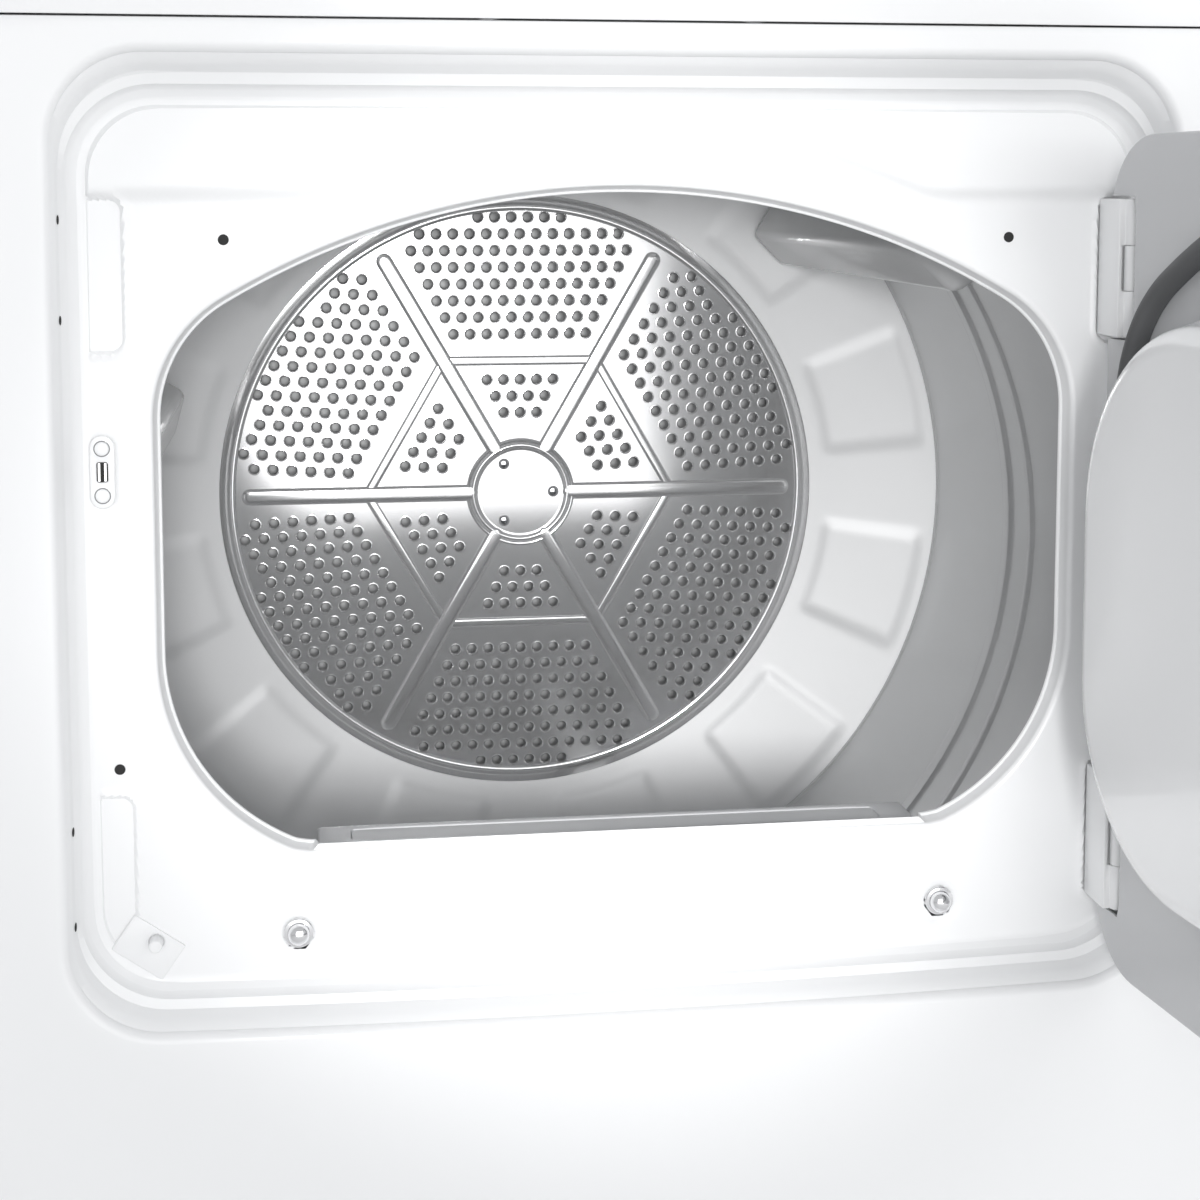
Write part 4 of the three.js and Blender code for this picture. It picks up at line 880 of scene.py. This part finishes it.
# door, drawn shut and then turned open about its hinges
doorLook = {"left": -267.5 * mm, "right": 273 * mm, "bottom": 391 * mm, "top": 824 * mm, "corner": 42 * mm,
            "inner": -21.8 * mm, "thickness": 18 * mm, "edge": 11 * mm, "sheet": 1.2 * mm, "points": 720,
            "plugHalfWidth": 217 * mm, "plugHalfHeight": 141.5 * mm, "plugHeight": 605 * mm,
            "plugCorner": 100 * mm, "plugDepth": 48 * mm, "plugTaper": 9 * mm, "plugEdge": 12 * mm,
            "rootRadius": 5 * mm, "hingeSpread": 149.25 * mm,
            "pillHalfWidth": 13.5 * mm, "pillHalfHeight": 40 * mm, "beadRise": 1.0 * mm,
            "gripMiddle": 574 * mm, "gripHalf": 44 * mm, "gripDepth": 11 * mm}
doorMiddle = (doorLook["bottom"] + doorLook["top"]) / 2
hingeHeights = (doorMiddle + doorLook["hingeSpread"], doorMiddle - doorLook["hingeSpread"])


def turnedOpen(points):
    points = np.array(points, float).reshape(-1, 3)
    x, y = points[:, 0] - hingeAt.x, points[:, 1] - hingeAt.y
    c, s = math.cos(openAngle), math.sin(openAngle)
    return np.stack([x * c - y * s + hingeAt.x, x * s + y * c + hingeAt.y, points[:, 2]], 1)


def hungPiece(name, points, faces, material, slot, *replaced, reliefs=False):
    piece = meshObject(name, points, faces, [material])
    outward(piece)
    if reliefs:
        for height in hingeHeights:
            cutter = boxObject("cutter", (hingeAt.x - 10 * mm, floorY - 35.8 * mm, height - 36.5 * mm),
                               (doorLook["right"] + 6 * mm, floorY - 14 * mm, height + 36.5 * mm))
            modifier = piece.modifiers.new("relief", "BOOLEAN")
            modifier.operation = "DIFFERENCE"
            modifier.solver = "EXACT"
            modifier.use_self = True
            modifier.object = cutter
            applied(piece)
            bpy.data.objects.remove(cutter)
        print(name, "relieved to", len(piece.data.polygons), "faces")
    turned = turnedOpen([v.co for v in piece.data.vertices])
    piece.data.vertices.foreach_set("co", turned.ravel())
    piece.data.update()
    smooth(piece)
    return settle(piece, "door", slot, *replaced)


def boxObject(name, low, high):
    points = [(x, y, z) for x in (low[0], high[0]) for y in (low[1], high[1]) for z in (low[2], high[2])]
    faces = [(0, 1, 3, 2), (4, 6, 7, 5), (0, 4, 5, 1), (2, 3, 7, 6), (0, 2, 6, 4), (1, 5, 7, 3)]
    return meshObject(name, points, faces, [])


def makeDoorOuter():
    look = doorLook
    centre = ((look["left"] + look["right"]) / 2, doorMiddle)
    angles = np.linspace(-math.pi, math.pi, look["points"], endpoint=False)
    outer = look["inner"] - look["thickness"]
    seam = look["inner"] - look["sheet"] - 0.3 * mm

    def flat(inset):
        return rayLoop(roundedOutline(look["left"] + inset, look["right"] - inset, look["bottom"] + inset,
                                      look["top"] - inset, max(look["corner"] - inset, 6 * mm)),
                       centre, angles)

    rows = []

    def add(inset, y, push=True):
        ring = flat(inset)
        if push:
            # grip along the free edge
            near = easeStep(look["gripHalf"] - np.abs(ring[:, 1] - look["gripMiddle"]), 14 * mm)
            free = easeStep(look["left"] + 14 * mm + inset - ring[:, 0], 6 * mm)
            deep = float(easeStep(np.array(y - outer - 6.5 * mm), 5 * mm))
            ring[:, 0] = ring[:, 0] + near * free * deep * look["gripDepth"]
        rows.append(np.stack([ring[:, 0], np.full(len(ring), floorY + y), ring[:, 1]], 1))

    sheet = look["sheet"]
    edge = look["edge"]
    add(150 * mm, outer + sheet, False)
    add(edge + sheet, outer + sheet, False)
    for k in range(1, 6):
        a = math.radians(90 * (1 - k / 6))
        add(sheet + edge * (1 - math.cos(math.radians(90) - a)),
            outer + sheet + edge * (1 - math.sin(math.radians(90) - a)) * 0.98, True)
    add(sheet, outer + edge + sheet)
    add(sheet, seam)
    add(0, seam)
    for y in np.linspace(seam - 0.8 * mm, outer + edge, 5):
        add(0, y)
    for k in range(1, 9):
        a = math.radians(90 * k / 8)
        add(edge * (1 - math.cos(a)), outer + edge * (1 - math.sin(a)))
    add(60 * mm, outer, False)
    add(150 * mm, outer, False)
    points, faces = skin(rows, capFirst=True, capLast=True)
    hungPiece("door_outer_skin", points, faces, doorWhite, "white_enamel", "door_outer_panel", reliefs=True)


def pillReach(x, z):
    # distance outside the pill-shaped edge round each hinge, as a field
    best = np.full(np.shape(x), 1.0)
    for height in hingeHeights:
        half = doorLook["pillHalfHeight"] - doorLook["pillHalfWidth"]
        reach = np.hypot(x - hingeAt.x, np.maximum(np.abs(z - height) - half, 0)) - doorLook["pillHalfWidth"]
        best = np.minimum(best, reach)
    return best


def makeDoorInner():
    look = doorLook
    centre = (0.0, look["plugHeight"])
    angles = np.linspace(-math.pi, math.pi, look["points"], endpoint=False)

    def outline(inset):
        return rayLoop(roundedOutline(look["left"] + inset, look["right"] - inset, look["bottom"] + inset,
                                      look["top"] - inset, look["corner"] - inset), centre, angles)

    def plug(inset):
        half, tall, middle = look["plugHalfWidth"] - inset, look["plugHalfHeight"] - inset, look["plugHeight"]
        corner = look["plugCorner"] - inset * 0.8
        return rayLoop(roundedOutline(-half, half, middle - tall, middle + tall, corner, 20),
                       centre, angles)

    rows = []

    def add(ring, y):
        y = np.broadcast_to(y, len(ring))
        rows.append(np.stack([ring[:, 0], floorY + y, ring[:, 1]], 1))

    inner, sheet, edge, depth = look["inner"], look["sheet"], look["plugEdge"], look["plugDepth"]
    root = look["rootRadius"]
    add(outline(0.6 * mm), inner - sheet)
    add(outline(0.5 * mm), inner - 0.6 * mm)
    add(outline(0.9 * mm), inner - 0.15 * mm)
    add(outline(1.6 * mm), inner)
    start, stop = outline(2.4 * mm), plug(-root)
    for share in np.linspace(0, 1, 26):
        ring = start * (1 - share) + stop * share
        bead = np.exp(-(pillReach(ring[:, 0], ring[:, 1]) / (1.6 * mm)) ** 2) * look["beadRise"]
        add(ring, inner + bead)
    for k in range(1, 7):
        a = math.radians(90 * k / 6)
        add(plug(-root * (1 - math.sin(a))), inner + root * (1 - math.cos(a)))
    side = depth - edge - root
    for share in (0.25, 0.5, 0.75, 1.0):
        add(plug(look["plugTaper"] * share), inner + root + side * share)
    for k in range(1, 10):
        a = math.radians(90 * k / 9)
        add(plug(look["plugTaper"] + edge * (1 - math.cos(a))), inner + depth - edge + edge * math.sin(a))
    add(plug(look["plugTaper"] + edge + 40 * mm), inner + depth)
    add(plug(look["plugTaper"] + edge + 90 * mm), inner + depth)
    add(plug(look["plugTaper"] + edge + 90 * mm), inner + depth - sheet)
    add(plug(look["plugTaper"] + edge), inner + depth - sheet)
    add(plug(look["plugTaper"] + sheet), inner + depth - edge)
    add(plug(sheet), inner + root)
    add(plug(-root), inner - sheet)
    points, faces = skin(rows, wrap=True)
    # the plug's face and its back are closed with caps
    points = np.array(points)
    count = look["points"]
    faceRow, backRow = len(rows) - 6, len(rows) - 5
    faces = [f for f in faces if not (min(f) // count == faceRow and max(f) // count == backRow)]
    faces.append([faceRow * count + i for i in range(count)])
    faces.append([backRow * count + i for i in range(count)][::-1])
    panel = hungPiece("door_inner_plug", points, faces, doorWhite, "white_plastic", "door_inner_panel",
                      reliefs=True)
    # the inner sheet's faces take the darker copy, painted shade; the plug keeps doorWhite
    panel.data.materials.append(doorSheetShade)
    shut = Matrix.Rotation(-openAngle, 3, "Z")
    for face in panel.data.polygons:
        place = shut @ (face.center - hingeAt) + hingeAt
        if place.y < floorY + inner + 2.2 * mm:
            face.material_index = 1


def makeGasket():
    centre = panelLook["centre"]
    angles = np.linspace(-math.pi, math.pi, 600, endpoint=False)
    rows = []
    for grow, y in ((15, -21.5), (15.2, -17.5), (14.4, -14.6), (12.4, -12.8), (10, -12.4), (7.6, -13),
                    (5.8, -15), (5.2, -18), (5, -21.5)):
        ring = rayLoop(openingOutline(grow * mm), centre, angles)
        rows.append([(x, floorY + y * mm, z) for x, z in ring])
    points, faces = skin(rows, wrap=True)
    hungPiece("door_gasket_bulb", points, faces, gasketRubber, "rubber", "door_gasket")


makeDoorOuter()
makeDoorInner()
makeGasket()
refined("door_catch", 0.6 * mm, 2, 30, polishedScrew, "bright_steel")
for place in ("upper", "lower"):
    refined("hinge_bracket_" + place, 0.5 * mm, 2, 30, whiteEnamel, "zinc_steel")
    refined("hinge_leaf_" + place, 0.4 * mm, 2, 30, whiteEnamel, "zinc_steel")
print("door made")


# strike, switch, screws and holes of the recess
smallLook = {"strike": (-259 * mm, 659 * mm), "strikeHalf": (6 * mm, 18 * mm), "strikeScrews": 11.6 * mm,
             "chrome": (167.5 * mm, 422 * mm), "holes": ((-199, 772), (199, 772), (-254, 510)),
             "wallHoles": (782, 734, 483, 435)}


def makeStrike():
    look = smallLook
    x, z = look["strike"]
    halfX, halfZ = look["strikeHalf"]
    angles = np.linspace(-math.pi, math.pi, 160, endpoint=False)

    def pill(inset):
        return rayLoop(roundedOutline(x - halfX + inset, x + halfX - inset, z - halfZ + inset,
                                      z + halfZ - inset, halfX - inset, 10), (x, z), angles)

    def mouth(grow):
        return rayLoop(roundedOutline(x - 2.8 * mm - grow, x + 2.8 * mm + grow, z - 5 * mm - grow,
                                      z + 5 * mm + grow, 1.2 * mm, 5), (x, z), angles)

    rows = []
    for ring, y in ((pill(0), -0.3), (pill(0), -1.2), (pill(0.3 * mm), -1.7), (pill(1.0 * mm), -2.0),
                    (mouth(0.6 * mm), -2.0), (mouth(0), -1.6), (mouth(0), -0.3)):
        rows.append([(px, floorY + y * mm, pz) for px, pz in ring])
    plate = meshObject("strike_pill", *skin(rows, wrap=True), [whiteEnamel])
    settle(outward(plate), "cabinet", "bright_steel", "strike_plate")
    # near-black box in the strike's mouth: painted shade of its hollow
    well = boxObject("strike_well", (x - 2.7 * mm, floorY - 0.9 * mm, z - 4.9 * mm),
                     (x + 2.7 * mm, floorY - 0.35 * mm, z + 4.9 * mm))
    well.data.materials.append(paintedHollowShade)
    settle(well, "cabinet", "bright_steel")
    sides = [(x - 1.5 * mm, floorY - 1.2 * mm, z), (x + 1.5 * mm, floorY - 1.2 * mm, z)]
    clips = grown("strike_clips", sides, barTree,
                  {"Size": (1.1 * mm, 0.8 * mm, 9 * mm), "Finish": polishedScrew})
    settle(clips, "cabinet", "bright_steel")
    spots = [(x, floorY - 2.0 * mm, z + s * look["strikeScrews"]) for s in (-1, 1)]
    rings = grown("strike_screw_rings", spots, domeTree, {"Radius": 4.0 * mm, "Height": 0.35 * mm,
                  "Facing": (0, -1, 0), "Finish": greyPlastic})
    settle(rings, "cabinet", "bright_steel")
    heads = grown("strike_screw_heads", spots, domeTree, {"Radius": 3.5 * mm, "Height": 1.3 * mm,
                  "Facing": (0, -1, 0), "Finish": whiteEnamel})
    settle(heads, "cabinet", "bright_steel")


def makeChromeScrews():
    side, height = smallLook["chrome"]
    for label, sign in (("left", -1), ("right", 1)):
        profile = [(0.3, -7.2), (2.4, -6.9), (4.2, -5.9), (5.2, -4.4), (5.6, -2.6), (5.7, -1.4), (7.2, -1.2),
                   (7.6, -0.7), (7.6, 0.6), (0.3, 0.6)]
        points, faces = solidLathe([(r * mm, floorY + y * mm) for r, y in profile], sign * side, height, 48)
        cap = meshObject("panel_screw_dome_" + label, points, faces, [polishedScrew])
        settle(outward(cap), "cabinet", "bright_steel", "panel_screw_" + label)


def makeHoles():
    # near-black domes: painted shade standing in for the screw holes in the recess floor
    spots = [(x * mm, floorY - 0.1 * mm, z * mm) for x, z in smallLook["holes"]]
    holes = grown("panel_screw_holes", spots, domeTree, {"Radius": 2.7 * mm, "Height": 0.5 * mm,
                  "Facing": (0, -1, 0), "Finish": paintedHollowShade})
    settle(holes, "cabinet", "white_enamel")
    # the same painted shade for the screw holes in the recess's left wall
    depth = -12 * mm
    wall = panelLook["recessHalf"] - panelLook["sideDraft"] * (1 + depth / (26 * mm))
    spots = [(-wall, floorY + depth, z * mm) for z in smallLook["wallHoles"]]
    holes = grown("wall_screw_holes", spots, domeTree, {"Radius": 2.3 * mm, "Height": 0.5 * mm,
                  "Facing": (1, 0, 0), "Finish": paintedHollowShade})
    settle(holes, "cabinet", "white_enamel")


makeStrike()
makeChromeScrews()
makeHoles()
refined("door_switch_housing", 1.4 * mm, 3, 30, whitePlastic, "white_plastic")
refined("door_switch_plunger", 0.9 * mm, 3, 30, whitePlastic, "white_plastic")
print("small parts made")


# cabinet, console and controls
for node, width, segments in (("top_panel", 3.5 * mm, 4), ("left_side_panel", 0.6 * mm, 2),
                              ("right_side_panel", 0.6 * mm, 2), ("console_fascia", 2.5 * mm, 4),
                              ("console_cap_left", 2.5 * mm, 4), ("console_cap_right", 2.5 * mm, 4),
                              ("rear_panel", 0.5 * mm, 2), ("terminal_cover", 1.5 * mm, 3),
                              ("console_rear_cover", 0.6 * mm, 2), ("foot_front_left", 1.2 * mm, 3),
                              ("foot_front_right", 1.2 * mm, 3), ("foot_rear_left", 1.2 * mm, 3),
                              ("foot_rear_right", 1.2 * mm, 3)):
    refined(node, width, segments, ringed=node == "top_panel")
knobLook = {"timer_turn": {"node": "timer_knob", "radius": 31, "height": 22, "ribs": 44, "dots": 24},
            "temperature_turn": {"node": "temperature_knob", "radius": 21, "height": 18, "ribs": 32,
                                 "dots": 7}}


def alongAxis(joint, points):
    place = Vector(joints[joint]["pos_m"])
    axis = Vector(joints[joint]["axis"]).normalized()
    side = Vector((1, 0, 0))
    rise = axis.cross(side)
    return [tuple(place + side * (x * mm) + rise * (y * mm) + axis * (z * mm)) for x, y, z in points]


def makeKnob(joint):
    look = knobLook[joint]
    radius, height = look["radius"], look["height"]
    angles = np.linspace(0, 2 * math.pi, look["ribs"] * 8, endpoint=False)
    wave = 1 + 0.022 * np.sign(np.cos(angles * look["ribs"])) * np.abs(np.cos(angles * look["ribs"])) ** 0.6
    rows = []
    for share, z, ribbed in ((0.02, 1.4, 0), (0.98, 1.4, 0), (1.0, 2.0, 0), (1.0, 3.6, 0), (0.97, 4.6, 0),
                             (0.80, 5.4, 0), (0.76, 6.4, 1), (0.735, height - 2.2, 1),
                             (0.715, height - 0.9, 1), (0.66, height - 0.1, 0),
                             (0.5, height + 0.2, 0), (0.02, height + 0.3, 0)):
        r = radius * share * (wave if ribbed else 1 + 0 * wave)
        rows.append(np.stack([r * np.cos(angles), r * np.sin(angles), np.full(len(angles), z)], 1))
    points, faces = skin(rows, capFirst=True, capLast=True)
    knob = meshObject(look["node"] + "_ribbed", alongAxis(joint, points), faces, [whitePlastic])
    settle(outward(knob), look["node"], "white_plastic", look["node"])
    low, high = 0.12 * radius, 0.66 * radius
    bar = [(x, y, z) for x in (-1.1, 1.1) for y in (low, high) for z in (height - 1, height + 0.7)]
    mark = meshObject(look["node"] + "_mark", alongAxis(joint, bar),
                      [(0, 1, 3, 2), (4, 6, 7, 5), (0, 4, 5, 1), (2, 3, 7, 6), (0, 2, 6, 4), (1, 5, 7, 3)],
                      [greyPlastic])
    settle(outward(mark), look["node"], "grey_plastic")
    sweep = 360 / look["dots"] if joint == "timer_turn" else 45
    dots = []
    for k in range(look["dots"]):
        turn = math.radians(90 + (k if joint == "timer_turn" else k - (look["dots"] - 1) / 2) * sweep)
        dots.append(((radius + 7) * math.cos(turn), (radius + 7) * math.sin(turn), 0.1))
    axis = Vector(joints[joint]["axis"])
    marks = grown(look["node"] + "_dial", alongAxis(joint, dots), domeTree, {"Radius": 1.3 * mm,
                  "Height": 0.25 * mm, "Facing": tuple(axis), "Finish": greyPlastic})
    settle(marks, "cabinet", "grey_plastic")


for joint in knobLook:
    makeKnob(joint)
refined("start_button", 1.5 * mm, 4)
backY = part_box("rear_panel")[1].y
rearLow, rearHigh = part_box("rear_panel")


def makeRearDetails():
    inset = 12 * mm
    xs = np.linspace(rearLow.x + inset, rearHigh.x - inset, 6)
    zs = np.linspace(rearLow.z + inset, rearHigh.z - inset, 7)
    spots = [(x, backY, z) for x in xs for z in (zs[0], zs[-1])]
    spots += [(x, backY, z) for x in (xs[0], xs[-1]) for z in zs[1:-1]]
    screws = grown("rear_panel_screws", spots, hexScrewTree, {"Facing": (0, 1, 0), "Finish": zincSteel})
    settle(screws, "cabinet", "zinc_steel")
    # near-black bars: painted shade standing in for the vent slots
    slots = [(sx * 150 * mm + k * 14 * mm, backY + 0.05 * mm, 310 * mm)
             for sx in (-1, 1) for k in range(-5, 6)]
    vents = grown("rear_panel_vents", slots, barTree,
                  {"Size": (6 * mm, 0.6 * mm, 70 * mm), "Finish": paintedHollowShade})
    settle(vents, "cabinet", "zinc_steel")


makeRearDetails()
print("cabinet and console made")


# frame pieces that keep their shape get a finer finish
for node in nodes.values():
    slot = node.data.materials[0].name.split(".")[0]
    for holder in node.material_slots:
        holder.material = paleSheet if node.name == "heat_diffuser" else finishOf[slot]
print("frame finishes set")


# floor and light
lightLook = {"sky": (0.97, 0.98, 1.0), "skyStrength": 0.62, "floor": (0.80, 0.80, 0.80)}


def makeStage():
    size = 40
    floor = meshObject("floor", [(-size, -size, 0), (size, -size, 0), (size, size, 0), (-size, size, 0)],
                       [(0, 1, 2, 3)], [makeFinish("paleFloor", lightLook["floor"], 0.7, tone=0.01)])
    world = bpy.data.worlds.new("studio")
    bpy.context.scene.world = world
    world.use_nodes = True
    world.node_tree.nodes["Background"].inputs["Color"].default_value = (*lightLook["sky"], 1)
    world.node_tree.nodes["Background"].inputs["Strength"].default_value = lightLook["skyStrength"]
    bpy.context.scene.view_settings.view_transform = "Standard"


def makeLight(name, place, target, size, power, color=(1, 1, 1)):
    light = bpy.data.lights.new(name, "AREA")
    light.shape = "RECTANGLE"
    light.size, light.size_y = size
    light.energy = power
    light.color = color
    holder = bpy.data.objects.new(name, light)
    holder.location = place
    direction = Vector(target) - Vector(place)
    holder.rotation_euler = direction.to_track_quat("-Z", "Y").to_euler()
    bpy.context.scene.collection.objects.link(holder)


makeStage()
makeLight("keyLight", (0.1, floorY - 2.3, 0.95), (0.05, floorY, 0.62), (2.6, 1.9), 23)
makeLight("sideLight", (1.7, floorY - 1.5, 1.3), (0.1, floorY, 0.62), (1.2, 1.4), 10)


def makeDrumLight(place, target, power, angle, radius):
    light = bpy.data.lights.new("drumLight", "SPOT")
    light.energy = power
    light.spot_size = angle
    light.spot_blend = 0.5
    light.shadow_soft_size = radius
    holder = bpy.data.objects.new("drumLight", light)
    holder.location = place
    direction = Vector(target) - Vector(place)
    holder.rotation_euler = direction.to_track_quat("-Z", "Y").to_euler()
    bpy.context.scene.collection.objects.link(holder)


makeDrumLight((-0.12, floorY - 1.3, 0.8), (0.02, floorY + 0.1, 0.58), 50, math.radians(24), 0.09)
print("stage made")
